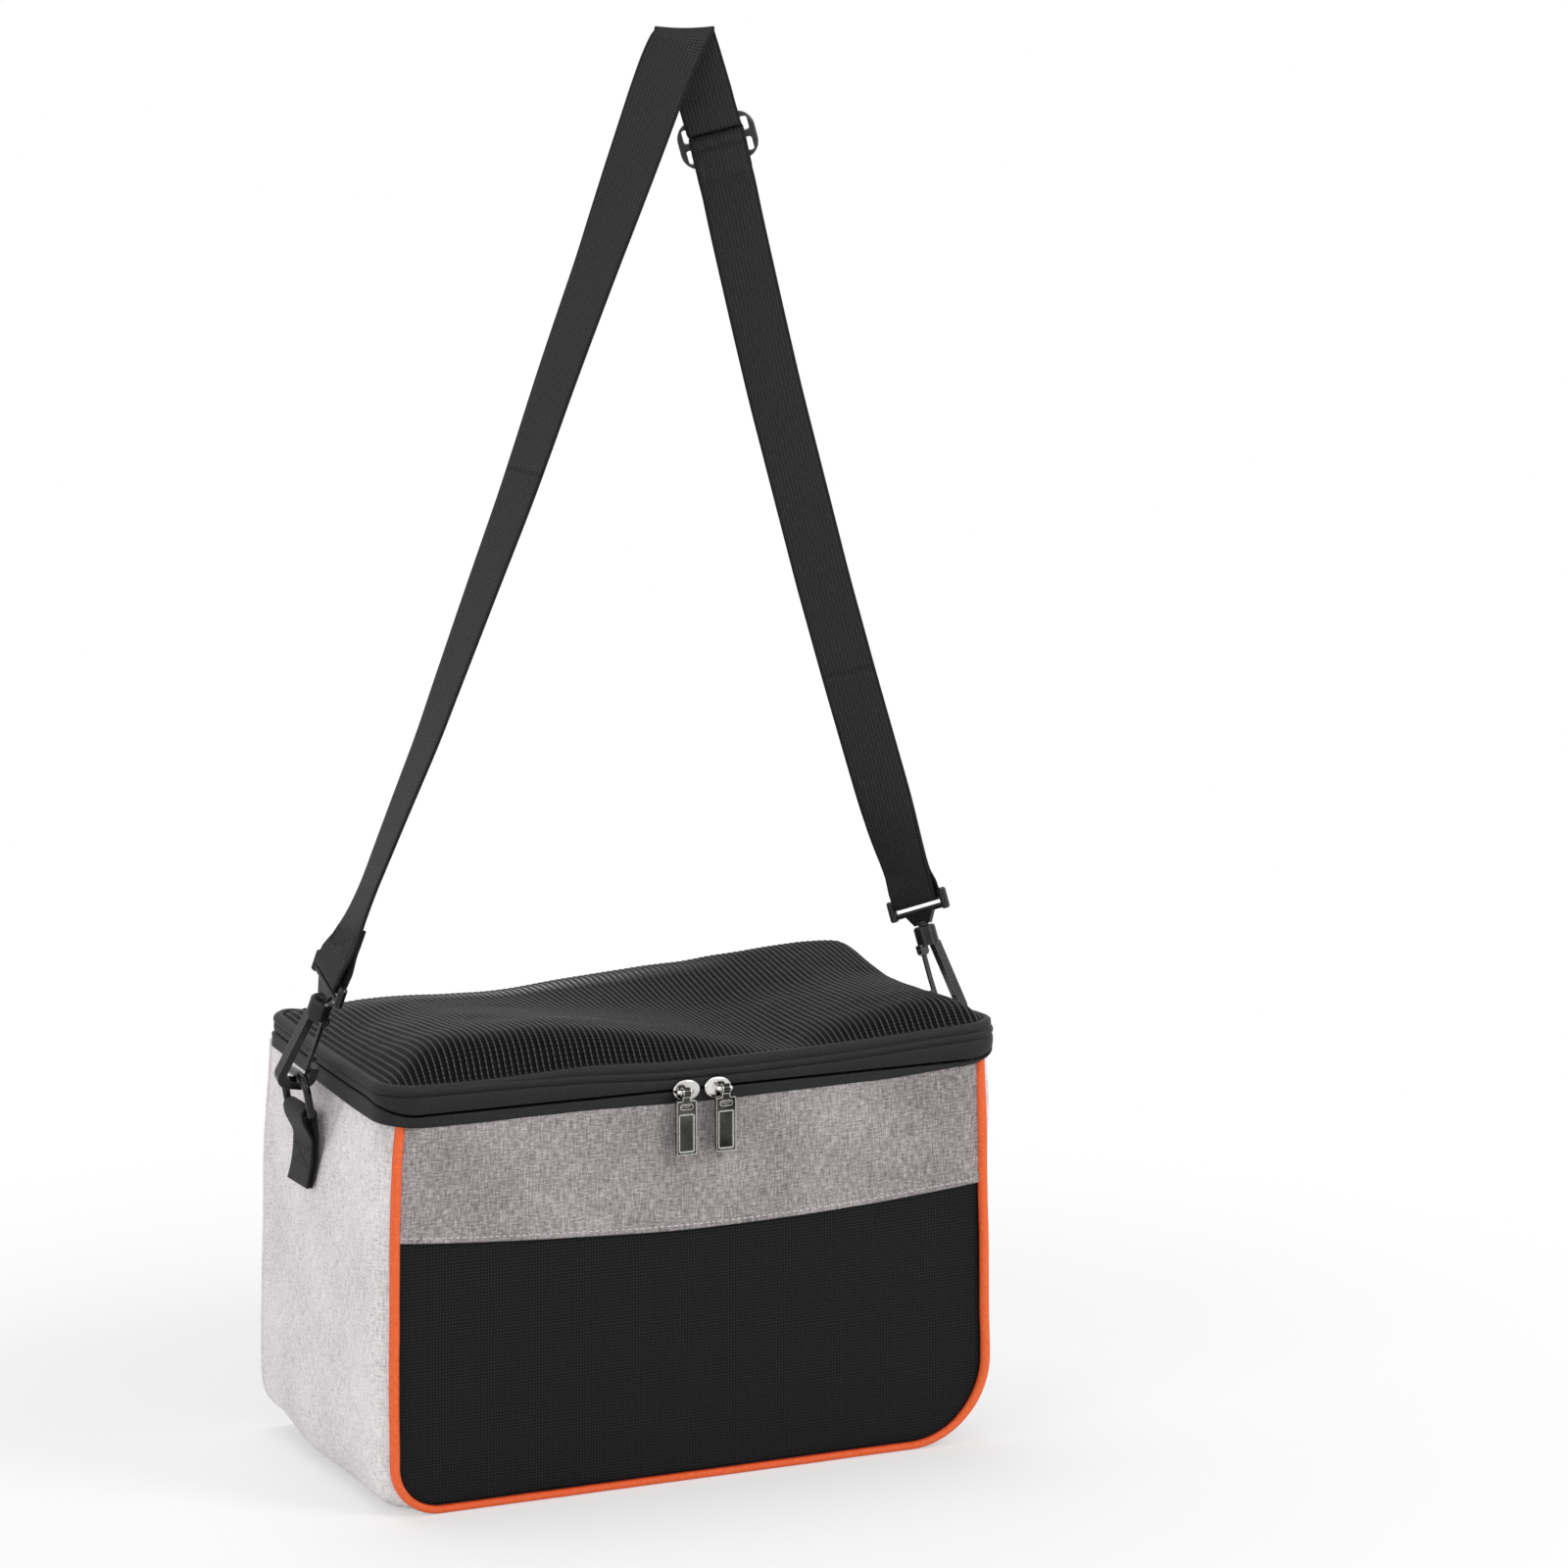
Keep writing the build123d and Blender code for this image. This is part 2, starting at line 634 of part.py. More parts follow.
    export_step(swivel_loop.part, f"parts/swivel_loop_{name}.step")

# Shoulder strap: one length of webbing, folded at the top, doubled from the adjuster to the right loop

bar_wrap = loop_wire_radius + soft_gap
ply_offset = bar_wrap + webbing_thickness / 2
wrap_tail = 5.0
leg_settle = 0.06
left_turns = ((0, left_loop_turn), (0.03, left_loop_turn), (0.08, -97), (0.4, -79), (0.75, -60), (1, apex_turn))
right_turns = ((0, right_loop_turn), (0.03, right_loop_turn), (0.14, apex_turn), (1, apex_turn))
apex_across = turned(apex_turn)
apex_out = turned(apex_turn - 90)
fold_radius = webbing_thickness + soft_gap / 2


def loop_bar(bow, lean, turn):
    """Middle and direction of the bar that carries the webbing."""
    along = lean.normalized()
    level = turned(turn)
    return bow + along * loop_bar_height, (level - along * level.dot(along)).normalized()


def turn_at(turns, share):
    """Angle of the webbing's width at a share of the leg, from a table of (share, angle)."""
    for (low, first), (high, last) in zip(turns, turns[1:]):
        if share <= high:
            return first + (last - first) * (share - low) / (high - low)
    return turns[-1][1]


def ribbon(start, end, start_across, turns, stations):
    """Webbing between two points. A station is (share of the way, offset outwards, thickness)."""
    way = (end - start).normalized()
    sections = []
    for share, out, thickness in stations:
        level = turned(turn_at(turns, share))
        square = (level - way * level.dot(way)).normalized()
        blend = min(1, share / leg_settle)
        across = (start_across * (1 - blend) + square * blend).normalized()
        up = (way - across * way.dot(across)).normalized()
        face = across.cross(up)
        with BuildSketch(Plane(origin=start + (end - start) * share + face * out, x_dir=across, z_dir=up)) as section:
            Rectangle(webbing_width, thickness)
        sections.append(section.sketch)
    loft(sections, ruled=True)


def bar_sleeve(bar_point, bar_way, way):
    """The webbing's turn round a loop bar, with two short straight tails."""
    up = (way - bar_way * way.dot(bar_way)).normalized()
    sleeve_plane = Plane(origin=bar_point - bar_way * (webbing_width / 2), x_dir=up, z_dir=bar_way)
    with BuildSketch(sleeve_plane) as sleeve:
        Circle(bar_wrap + webbing_thickness)
        with Locations((wrap_tail / 2, 0)):
            Rectangle(wrap_tail, 2 * (bar_wrap + webbing_thickness))
        Circle(bar_wrap, mode=Mode.SUBTRACT)
        with Locations(((wrap_tail - 1) / 2, 0)):
            Rectangle(wrap_tail - 1, 2 * bar_wrap, mode=Mode.SUBTRACT)
    extrude(sleeve.sketch, amount=webbing_width)


left_bar, left_bar_way = loop_bar(left_bow, left_lean, left_loop_turn)
right_bar, right_bar_way = loop_bar(right_bow, right_lean, right_loop_turn)
front_top = strap_apex + apex_out * (webbing_thickness / 2)
rear_top = strap_apex - apex_out * (webbing_thickness / 2)
left_length = (front_top - left_bar).length
right_length = (rear_top - right_bar).length
full_wrap = 2 * (bar_wrap + webbing_thickness)
two_plies = 2 * webbing_thickness

# Adjuster: a flat frame with three bars, square to the right leg of the strap
right_way = (rear_top - right_bar).normalized()
adjuster_share = 1 - adjuster_drop / right_length
adjuster_point = right_bar + (rear_top - right_bar) * adjuster_share
adjuster_across = (apex_across - right_way * apex_across.dot(right_way)).normalized()
adjuster_middle = adjuster_point + adjuster_across * adjuster_shift
adjuster_plane = Plane(origin=adjuster_middle, x_dir=adjuster_across, z_dir=adjuster_across.cross(right_way))
adjuster_half_width = (webbing_width + adjuster_slot_play) / 2 + adjuster_end
bar_pitch = (adjuster_height - adjuster_bar) / 2
slot_height = bar_pitch - adjuster_bar

with BuildPart() as adjuster:
    with BuildSketch(adjuster_plane.offset(-adjuster_thickness / 2)):
        RectangleRounded(2 * adjuster_half_width, adjuster_height, adjuster_height / 2 - 3)
        with GridLocations(0, bar_pitch, 1, 2):
            RectangleRounded(webbing_width + adjuster_slot_play, slot_height, 1.2, mode=Mode.SUBTRACT)
    extrude(amount=adjuster_thickness)
    outline_face = adjuster.faces().filter_by(lambda f: abs(f.normal_at().dot(adjuster_plane.z_dir)) > 0.99)
    rim_reach = (webbing_width + adjuster_slot_play) / 2 + 2
    rim_edges = outline_face.edges().filter_by(lambda e: (e.center() - adjuster_middle).length > rim_reach)
    chamfer(rim_edges, adjuster_thickness / 4)
adjuster.part.label = "strap_adjuster"
export_step(adjuster.part, "parts/strap_adjuster.step")

half_frame = adjuster_height / 2
over_frame = adjuster_thickness / 2 + soft_gap
fold_bore = hypot(adjuster_bar, adjuster_thickness) / 2 + soft_gap


def at(distance, length):
    """Share of the way up a leg."""
    return distance / length


frame_at = right_length - adjuster_drop

with BuildPart() as shoulder_strap:
    bar_sleeve(left_bar, left_bar_way, front_top - left_bar)
    ribbon(
        left_bar,
        front_top,
        left_bar_way,
        left_turns,
        [
            (at(wrap_tail - 0.5, left_length), 0, full_wrap),
            (at(wrap_tail + 7, left_length), 0, two_plies),
            (at(wrap_tail + sewn_end_length, left_length), 0, two_plies),
            (at(wrap_tail + sewn_end_length + 1, left_length), 0, webbing_thickness),
            (0.08, 0, webbing_thickness),
        ]
        + [(0.1 + 0.1 * step, 0, webbing_thickness) for step in range(0, 10)],
    )
    bar_sleeve(right_bar, right_bar_way, rear_top - right_bar)
    ribbon(
        right_bar,
        rear_top,
        right_bar_way,
        right_turns,
        [
            (at(wrap_tail - 0.5, right_length), 0, full_wrap),
            (at(wrap_tail + 9, right_length), 0, two_plies),
        ]
        + [(0.1 + 0.1 * step, 0, two_plies) for step in range(0, 7)]
        + [
            (at(frame_at - half_frame - 14, right_length), 0, two_plies),
            (at(frame_at - half_frame - 1, right_length), over_frame + webbing_thickness, two_plies),
            (at(frame_at + adjuster_bar / 2, right_length), over_frame + webbing_thickness, two_plies),
            (at(frame_at + adjuster_bar / 2 + 1, right_length), over_frame + webbing_thickness / 2, webbing_thickness),
            (at(frame_at + half_frame + 1, right_length), over_frame + webbing_thickness / 2, webbing_thickness),
            (at(frame_at + half_frame + 16, right_length), 0, webbing_thickness),
            (1, 0, webbing_thickness),
        ],
    )
    with BuildSketch(Plane(origin=strap_apex - apex_across * webbing_width / 2, x_dir=apex_out, z_dir=apex_across)):
        Circle(fold_radius)
    extrude(amount=webbing_width)
    with BuildSketch(Plane(origin=adjuster_point - adjuster_across * webbing_width / 2, x_dir=right_way, z_dir=adjuster_across)):
        Circle(fold_bore + webbing_thickness)
        Circle(fold_bore, mode=Mode.SUBTRACT)
    extrude(amount=webbing_width)
shoulder_strap.part.label = "shoulder_strap"
export_step(shoulder_strap.part, "parts/shoulder_strap.step")
print("strap legs", round(left_length), round(right_length))
for name, point, way in (
    ("left swivel", left_bow, left_lean.normalized()),
    ("right swivel", right_bow, right_lean.normalized()),
    ("adjuster", adjuster_point, right_way),
):
    print(name, [round(value, 3) for value in point], [round(value, 6) for value in way])
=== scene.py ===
import bpy
import bmesh
import math
import numpy as np
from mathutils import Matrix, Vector, noise


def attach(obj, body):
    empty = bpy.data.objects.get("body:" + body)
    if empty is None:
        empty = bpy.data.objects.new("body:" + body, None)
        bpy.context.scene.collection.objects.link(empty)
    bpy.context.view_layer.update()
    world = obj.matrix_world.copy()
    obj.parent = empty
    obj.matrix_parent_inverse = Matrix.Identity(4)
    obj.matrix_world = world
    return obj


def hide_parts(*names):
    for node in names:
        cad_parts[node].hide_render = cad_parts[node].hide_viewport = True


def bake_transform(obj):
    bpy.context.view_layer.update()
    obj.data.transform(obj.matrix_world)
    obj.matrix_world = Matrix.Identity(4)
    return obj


# Pet carrier bag: soft walls, lid and strap are sewn here around the fixed hardware.
# Sizes below are in millimetres and are scaled to metres as each mesh is made.

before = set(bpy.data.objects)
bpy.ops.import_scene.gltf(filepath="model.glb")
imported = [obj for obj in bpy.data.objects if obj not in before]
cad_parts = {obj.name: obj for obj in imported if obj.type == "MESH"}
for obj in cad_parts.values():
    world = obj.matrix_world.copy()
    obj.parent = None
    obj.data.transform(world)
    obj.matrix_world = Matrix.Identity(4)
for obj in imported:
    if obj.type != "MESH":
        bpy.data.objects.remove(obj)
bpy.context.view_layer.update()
mm = 0.001
print("frame loaded")

bag = dict(halfWidth=143.0, wallTop=173.5, endFace=147.5, piping=2.2, frontY=-79.0)
rim = dict(
    halfX=147.5, halfY=80.0, back=77.03, corner=17.0, pipingZ=184.4, pipingInset=1.9, pipingRadius=2.1,
    lowEdge=177.9, lowFade=3.9, highEdge=179.6, highFade=3.0, bandEnd=66.0,
)


def smooth(t):
    t = min(1.0, max(0.0, t))
    return t * t * (3 - 2 * t)


def softNoise(x, y, z, size, seed=0.0):
    return noise.noise(Vector((x / size + seed, y / size - seed, z / size + 2 * seed)))


# How the filled bag slouches: the rim dips at the zip pulls and rises towards the corners and the back right
slouch = dict(
    front=(
        (-147, 5.2), (-131, 4.6), (-90, 4.2), (-53, 3.4), (-14, 1.0), (20, 0.9), (60, 1.6), (89, 2.8), (139, 5.4),
        (147, 5.8),
    ),
    back=((-147, 12.0), (-134, 10.0), (-112, 6.4), (-46, 4.0), (0, 5.6), (60, 7.6), (110, 9.2), (147, 9.0)),
)


def tableAt(table, x, spread=9.0):
    xs = [p[0] for p in table]
    ys = [p[1] for p in table]
    return float(np.mean(np.interp(x + np.linspace(-spread, spread, 7), xs, ys)))


def rimLift(x, y):
    v = max(0.0, min(1.0, (y + rim["halfY"]) / (2 * rim["halfY"])))
    front, back = tableAt(slouch["front"], x), tableAt(slouch["back"], x)
    return front + (back - front) * v ** 1.7


def zipLift(x, y):
    # the zip runs level where the sliders travel and follows the rim round the corners
    past = max(0.0, abs(x) - 131.0) + max(0.0, y + rim["halfY"])
    return rimLift(x, y) * smooth(past / 42)


# Half width of the front by height, and its lower corners: the left one is tighter than the right one
outline = dict(
    left=(
        (0, 144.6), (53, 144.5), (71, 144.4), (88, 143.9), (123, 143.4), (140, 142.7), (158, 141.8), (166, 140.8),
        (176, 139.3),
    ),
    right=((0, 142.9), (50, 142.8), (62, 142.4), (100, 141.6), (154, 140.2), (165, 139.7), (177, 139.2)),
    leftCorner=21.0, rightCorner=38.0,
    heel=6.5,
)


def wallSpot(x, y, z):
    rise = max(0.0, z / bag["wallTop"])
    behind = smooth((y + 77) / 60)
    atFront = tableAt(outline["left" if x < 0 else "right"], z, 5.0) / bag["halfWidth"]
    gather = atFront + (1 - 0.026 * smooth((z - 118) / 62) - atFront) * behind
    # the lower rear corners stand a little off the floor
    heel = outline["heel"] * smooth((abs(x) - 122) / 25) * smooth((y - 18) / 56) * (1 - smooth(z / 50))
    # the upper front corners follow the rounded rim
    over = min(rim["corner"] - 5.0, max(0.0, abs(x * gather) - (rim["halfX"] - rim["corner"])))
    inward = rim["corner"] - math.sqrt(rim["corner"] ** 2 - over ** 2) + 1.6 * smooth(over / 4)
    inward *= smooth((z - 150) / 20) * smooth((-52 - y) / 22)
    return Vector((x * gather + 0.45 * inward, y + inward, z + heel + rimLift(x, y) * rise ** 2.2))


# Mesh helpers


def newPiece(name, points, faces, uvs=None, flat=False):
    mesh = bpy.data.meshes.new(name)
    mesh.from_pydata([tuple(c * mm for c in p) for p in points], [], faces)
    mesh.validate()
    work = bmesh.new()
    work.from_mesh(mesh)
    bmesh.ops.recalc_face_normals(work, faces=work.faces)
    if uvs is not None:
        layer = work.loops.layers.uv.new("cloth")
        work.verts.ensure_lookup_table()
        for face in work.faces:
            for loop in face.loops:
                loop[layer].uv = uvs[loop.vert.index]
    for face in work.faces:
        face.smooth = not flat
    work.to_mesh(mesh)
    work.free()
    piece = bpy.data.objects.new(name, mesh)
    bpy.context.scene.collection.objects.link(piece)
    return piece


def finishPiece(piece, body, material, slotName, *nodes):
    piece.data.materials.clear()
    piece.data.materials.append(material)
    if isinstance(body, str):
        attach(piece, body)
    if nodes:
        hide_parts(*nodes)


def joined(rows):
    return [item for row in rows for item in row]


def slab(name, grid):
    # closed cloth panel from rows of (outer point, inner point, uv)
    rows, cols = len(grid), len(grid[0])
    spots = joined(grid)
    size = len(spots)
    faces = []
    for i in range(rows - 1):
        for j in range(cols - 1):
            a = i * cols + j
            faces.append((a, a + 1, a + cols + 1, a + cols))
            faces.append((size + a, size + a + cols, size + a + cols + 1, size + a + 1))
    edge = list(range(cols)) + [i * cols + cols - 1 for i in range(1, rows)]
    edge += [(rows - 1) * cols + j for j in range(cols - 2, -1, -1)] + [i * cols for i in range(rows - 2, 0, -1)]
    for k in range(len(edge)):
        a, b = edge[k], edge[(k + 1) % len(edge)]
        faces.append((a, size + a, size + b, b))
    return newPiece(name, [s[0] for s in spots] + [s[1] for s in spots], faces, [s[2] for s in spots] * 2)


def tubeFaces(count, ring, closed=False, base=0):
    # sides between rings of points, and a cap at each end of an open tube
    faces = []
    for i in range(count if closed else count - 1):
        low, high = base + i * ring, base + (i + 1) % count * ring
        for j in range(ring):
            k = (j + 1) % ring
            faces.append((low + j, low + k, high + k, high + j))
    if not closed:
        faces.append(tuple(base + j for j in range(ring))[::-1])
        faces.append(tuple(base + (count - 1) * ring + j for j in range(ring)))
    return faces


def sweepLoop(name, sections, closed=True):
    # sections is a list of equally long rings
    length = 0.0
    uvs = []
    for i, section in enumerate(sections):
        if i:
            length += (section[0] - sections[i - 1][0]).length
        around = 0.0
        for j, point in enumerate(section):
            if j:
                around += (point - section[j - 1]).length
            uvs.append((around, length))
    return newPiece(name, joined(sections), tubeFaces(len(sections), len(sections[0]), closed), uvs)


def tube(name, path, radius, sides=14, closed=False):
    sections = []
    last = None
    count = len(path)
    for i, point in enumerate(path):
        ahead = path[(i + 1) % count] if closed or i < count - 1 else point
        behind = path[i - 1] if closed or i > 0 else point
        way = (ahead - behind).normalized()
        if last is None:
            last = way.orthogonal().normalized()
        side = (last - way * last.dot(way)).normalized()
        last = side
        other = way.cross(side)
        size = radius(i) if callable(radius) else radius
        ring = []
        for k in range(sides):
            angle = 2 * math.pi * k / sides
            ring.append(point + (side * math.cos(angle) + other * math.sin(angle)) * size)
        sections.append(ring)
    return sweepLoop(name, sections, closed)


def ribbon(name, stations, width, thickness):
    # flat webbing: each station is (centre, across, face)
    corner = thickness * 0.42
    half, deep = width / 2, thickness / 2
    flat = [-half + corner + (width - 2 * corner) * k / 8 for k in range(9)]
    edge = [(a, deep) for a in flat]
    edge += [(half - corner * 0.3, deep * 0.72), (half, 0), (half - corner * 0.3, -deep * 0.72)]
    edge += [(-a, -deep) for a in flat]
    edge += [(-half + corner * 0.3, -deep * 0.72), (-half, 0), (-half + corner * 0.3, deep * 0.72)]
    sections, uvs = [], []
    length = 0.0
    for i, (centre, across, face) in enumerate(stations):
        if i:
            length += (centre - stations[i - 1][0]).length
        sections.append([centre + across * a + face * b for a, b in edge])
        uvs += [(a, length) for a, b in edge]
    return newPiece(name, joined(sections), tubeFaces(len(sections), len(edge)), uvs)


stitch = dict(length=2.1, radius=0.26, sides=6)


def threadRow(name, spots):
    # a row of stitches: each spot is (centre, along, out)
    length, radius, sides = stitch["length"], stitch["radius"], stitch["sides"]
    points, faces = [], []
    shape = ((-0.5, 0.15), (-0.36, 0.8), (0.0, 1.0), (0.36, 0.8), (0.5, 0.15))
    for centre, along, out in spots:
        side = along.cross(out).normalized()
        base = len(points)
        for t, r in shape:
            for k in range(sides):
                angle = 2 * math.pi * k / sides
                outward = side * math.cos(angle) + out * math.sin(angle)
                points.append(centre + along * (t * length) + outward * radius * r)
        faces += tubeFaces(len(shape), sides, base=base)
    return newPiece(name, points, faces)


# Materials: all of them are node trees, and cloth reads its own UV in millimetres


class Look:
    # the node tree of a material or world; a value is a number, a colour or another node's output
    def __init__(self, holder):
        holder.use_nodes = True
        self.holder = holder
        self.nodes, self.links = holder.node_tree.nodes, holder.node_tree.links

    def feed(self, node, values):
        for socket, value in values.items():
            if isinstance(value, bpy.types.NodeSocket):
                self.links.new(value, node.inputs[socket])
            else:
                node.inputs[socket].default_value = value
        return node

    def add(self, kind, values=None):
        return self.feed(self.nodes.new("ShaderNode" + kind), values or {})

    def paint(self, values):
        self.feed(self.nodes["Principled BSDF"], values)

    def math(self, operation, a, b=None):
        node = self.add("Math")
        node.operation = operation
        return self.feed(node, {0: a} if b is None else {0: a, 1: b}).outputs[0]

    def times(self, a, b):
        return self.math("MULTIPLY", a, b)

    def plus(self, a, b):
        return self.math("ADD", a, b)

    def minus(self, a, b):
        return self.math("SUBTRACT", a, b)

    def size(self, a):
        return self.math("ABSOLUTE", a)

    def mix(self, factor, a, b, blend="MIX"):
        node = self.add("Mix")
        node.data_type, node.blend_type = "RGBA", blend
        return self.feed(node, {"Factor": factor, "A": a, "B": b}).outputs["Result"]

    def ramp(self, source, *stops):
        node = self.add("ValToRGB", {"Fac": source})
        ends = node.color_ramp.elements
        for end, (place, colour) in ((ends[0], stops[0]), (ends[1], stops[-1])):
            end.position, end.color = place, (*colour, 1)
        for place, colour in stops[1:-1]:
            ends.new(place).color = (*colour, 1)
        return node.outputs["Color"]

    def cloth(self, across=1.0, along=1.0):
        uv = self.add("UVMap")
        uv.uv_map = "cloth"
        return self.add("Mapping", {"Scale": (across, along, 1), "Vector": uv.outputs["UV"]}).outputs["Vector"]

    def noise(self, vector, scale, detail=4.0, rough=0.55):
        values = {"Scale": scale, "Detail": detail, "Roughness": rough, "Vector": vector}
        return self.add("TexNoise", values).outputs["Fac"]

    def wave(self, vector, direction, pitch):
        node = self.add("TexWave")
        node.wave_type, node.bands_direction = "BANDS", direction
        values = {"Scale": 0.314 / pitch, "Distortion": 0.6, "Detail": 1.0, "Detail Scale": 1.5, "Vector": vector}
        return self.feed(node, values).outputs["Fac"]

    def bump(self, height, strength, distance):
        node = self.add("Bump", {"Strength": strength, "Distance": distance, "Height": height})
        self.paint({"Normal": node.outputs["Normal"]})


def newLook(name):
    return Look(bpy.data.materials.new(name))


def grey(level):
    return (level, level, level)


def wovenCloth(name, dark, middle, light, pitch=0.9, streak=1.0, bump=0.5):
    look = newLook(name)
    even = look.cloth()
    warp = look.noise(look.cloth(1.3, 0.16), streak, 5.0, 0.75)
    weft = look.noise(look.cloth(0.24, 1.3), streak, 5.0, 0.75)
    fibre = look.times(look.plus(warp, weft), 0.5)
    cloudy = look.noise(even, 0.02, 2.0)
    tone = look.plus(look.times(fibre, 0.86), look.times(cloudy, 0.14))
    weave = look.times(look.wave(even, "X", pitch), look.wave(even, "Y", pitch))
    look.bump(look.plus(weave, look.times(fibre, 0.8)), bump, 0.0003)
    look.paint({
        "Base Color": look.ramp(tone, (0.41, dark), (0.5, middle), (0.59, light)),
        "Roughness": look.plus(look.times(fibre, 0.2), 0.8),
        "Sheen Weight": 0.2, "Sheen Roughness": 0.5, "Specular IOR Level": 0.15,
    })
    return look.holder


def windowNet(name):
    look = newLook(name)
    even = look.cloth()
    cells = look.add("TexVoronoi", {"Scale": 0.72, "Randomness": 0.12, "Vector": even}).outputs["Distance"]
    cord = look.ramp(cells, (0.22, grey(0.002)), (0.42, (0.013, 0.013, 0.014)))
    fibre = look.ramp(look.noise(even, 1.2), (0.3, grey(0.5)), (0.7, grey(1.0)))
    look.bump(cells, 0.7, 0.0004)
    look.paint({
        "Base Color": look.mix(0.5, cord, fibre, "MULTIPLY"),
        "Roughness": look.ramp(cells, (0.2, grey(0.95)), (0.5, grey(0.6))),
        "Sheen Weight": 0.02, "Specular IOR Level": 0.16,
    })
    return look.holder


# The lid's net, and where its cells are painted pale as painted see-through light: round this place of the rear crest,
# this far each way
net = dict(ribPitch=2.9, rungPitch=1.3, lightX=-29.0, lightY=51.0, reachX=105.0, reachY=9.0, paintedLightCell=0.40)


def ribbedNet(name):
    look = newLook(name)
    even = look.cloth()
    ribs, rungs = look.wave(even, "X", net["ribPitch"]), look.wave(even, "Y", net["rungPitch"])
    fibre = look.noise(even, 0.9)
    parts = look.add("SeparateXYZ", {0: even}).outputs
    crest = look.size(look.math("SINE", look.times(parts["X"], math.pi / net["ribPitch"])))
    threads = look.plus(look.times(rungs, 0.18), look.times(fibre, 0.27))
    # painted highlight and shade: rib crests are painted pale and the valleys between them dark
    tone = look.plus(look.times(look.math("POWER", crest, 7.0), 0.55), threads)
    black = look.ramp(tone, (0.22, grey(0.0012)), (0.5, grey(0.006)), (0.85, (0.085, 0.085, 0.087)))
    lit = []
    for axis in ("X", "Y"):
        far = look.math("DIVIDE", look.size(look.minus(parts[axis], net["light" + axis])), net["reach" + axis])
        lit.append(look.ramp(far, (0.0, grey(1.0)), (1.0, grey(0.0))))
    # painted light: cells between the ribs near the rear crest are painted pale where the backdrop would show through
    # the net
    paintedSeeThrough = look.math("GREATER_THAN", look.times(look.minus(1.0, crest), rungs), net["paintedLightCell"])
    look.bump(look.plus(ribs, rungs), 0.5, 0.0003)
    look.paint({
        "Base Color": look.mix(look.times(paintedSeeThrough, look.times(*lit)), black, (*grey(0.9), 1)),
        "Roughness": look.plus(look.times(fibre, 0.25), 0.3),
        "Specular IOR Level": 0.05, "Sheen Weight": 0.012, "Sheen Roughness": 0.4,
    })
    return look.holder


def flatWebbing(name):
    look = newLook(name)
    even = look.cloth()
    weave = look.times(look.wave(even, "Y", 1.1), look.wave(even, "X", 1.6))
    fibre = look.noise(look.cloth(1.5, 0.3), 1.0)
    tone = look.plus(look.times(weave, 0.5), look.times(fibre, 0.5))
    face = look.ramp(tone, (0.2, (0.012, 0.012, 0.013)), (0.75, (0.050, 0.050, 0.052)))
    # the last millimetre at each side, round the edges, is darker than the face
    sideways = look.times(look.size(look.add("SeparateXYZ", {0: even}).outputs["X"]), 0.08)
    darkerSides = look.ramp(sideways, (0.90, grey(1.0)), (0.95, grey(0.22)))
    look.bump(weave, 0.8, 0.0004)
    look.paint({
        "Base Color": look.mix(1.0, face, darkerSides, "MULTIPLY"),
        "Roughness": look.plus(look.times(fibre, 0.25), 0.55),
        "Specular IOR Level": 0.2, "Sheen Weight": 0.04, "Sheen Roughness": 0.4,
    })
    return look.holder


def smoothBinding(name, dark, light, roughness, pitch=0.5, crest=None):
    look = newLook(name)
    even = look.cloth()
    fibre = look.noise(even, 0.6)
    colour = look.ramp(fibre, (0.3, dark), (0.7, light))
    if crest is not None:
        # painted highlight and shade: the cord is painted paler where it faces out front and darker on its sides
        facing = look.add("SeparateXYZ", {0: look.add("TexCoord").outputs["Normal"]}).outputs
        outward = look.minus(look.times(look.size(facing["X"]), 0.6), facing["Y"])
        colour = look.mix(1.0, colour, look.ramp(outward, *crest), "MULTIPLY")
    weave = look.times(look.wave(even, "X", pitch), look.wave(even, "Y", pitch))
    look.bump(look.plus(weave, fibre), 0.35, 0.0002)
    look.paint({
        "Base Color": colour, "Roughness": look.plus(look.times(fibre, 0.2), roughness - 0.1),
        "Specular IOR Level": 0.25, "Sheen Weight": 0.03,
    })
    return look.holder


def hardFinish(
    name, dark, light, metallic, roughness, spread, grain=900.0, bump=0.05, coat=0.0, edge=None, edgeShineWidth=0.3,
    gloss=0.5,
):
    look = newLook(name)
    place = look.add("TexCoord").outputs["Object"]
    rubbed = look.noise(place, grain * 0.12, 6.0)
    tone = look.ramp(rubbed, (0.35, dark), (0.65, light))
    if edge is not None:
        # painted highlight: edges are painted bright where the bevelled normal turns, as if they catch light
        rounded = look.add("Bevel", {"Radius": edgeShineWidth * mm})
        rounded.samples = 4
        turned = look.add("VectorMath")
        turned.operation = "DOT_PRODUCT"
        look.feed(turned, {0: rounded.outputs["Normal"], 1: look.add("NewGeometry").outputs["Normal"]})
        edgeShineMask = look.add("MapRange", {"From Min": 0.995, "From Max": 0.90, "Value": turned.outputs["Value"]})
        tone = look.mix(edgeShineMask.outputs["Result"], tone, (*edge, 1))
    look.bump(look.noise(place, grain, 3.0), bump, 0.0001)
    look.paint({
        "Base Color": tone, "Roughness": look.plus(look.times(rubbed, spread), roughness - spread / 2),
        "Metallic": metallic, "Coat Weight": coat, "Coat Roughness": 0.15, "Specular IOR Level": gloss,
    })
    return look.holder


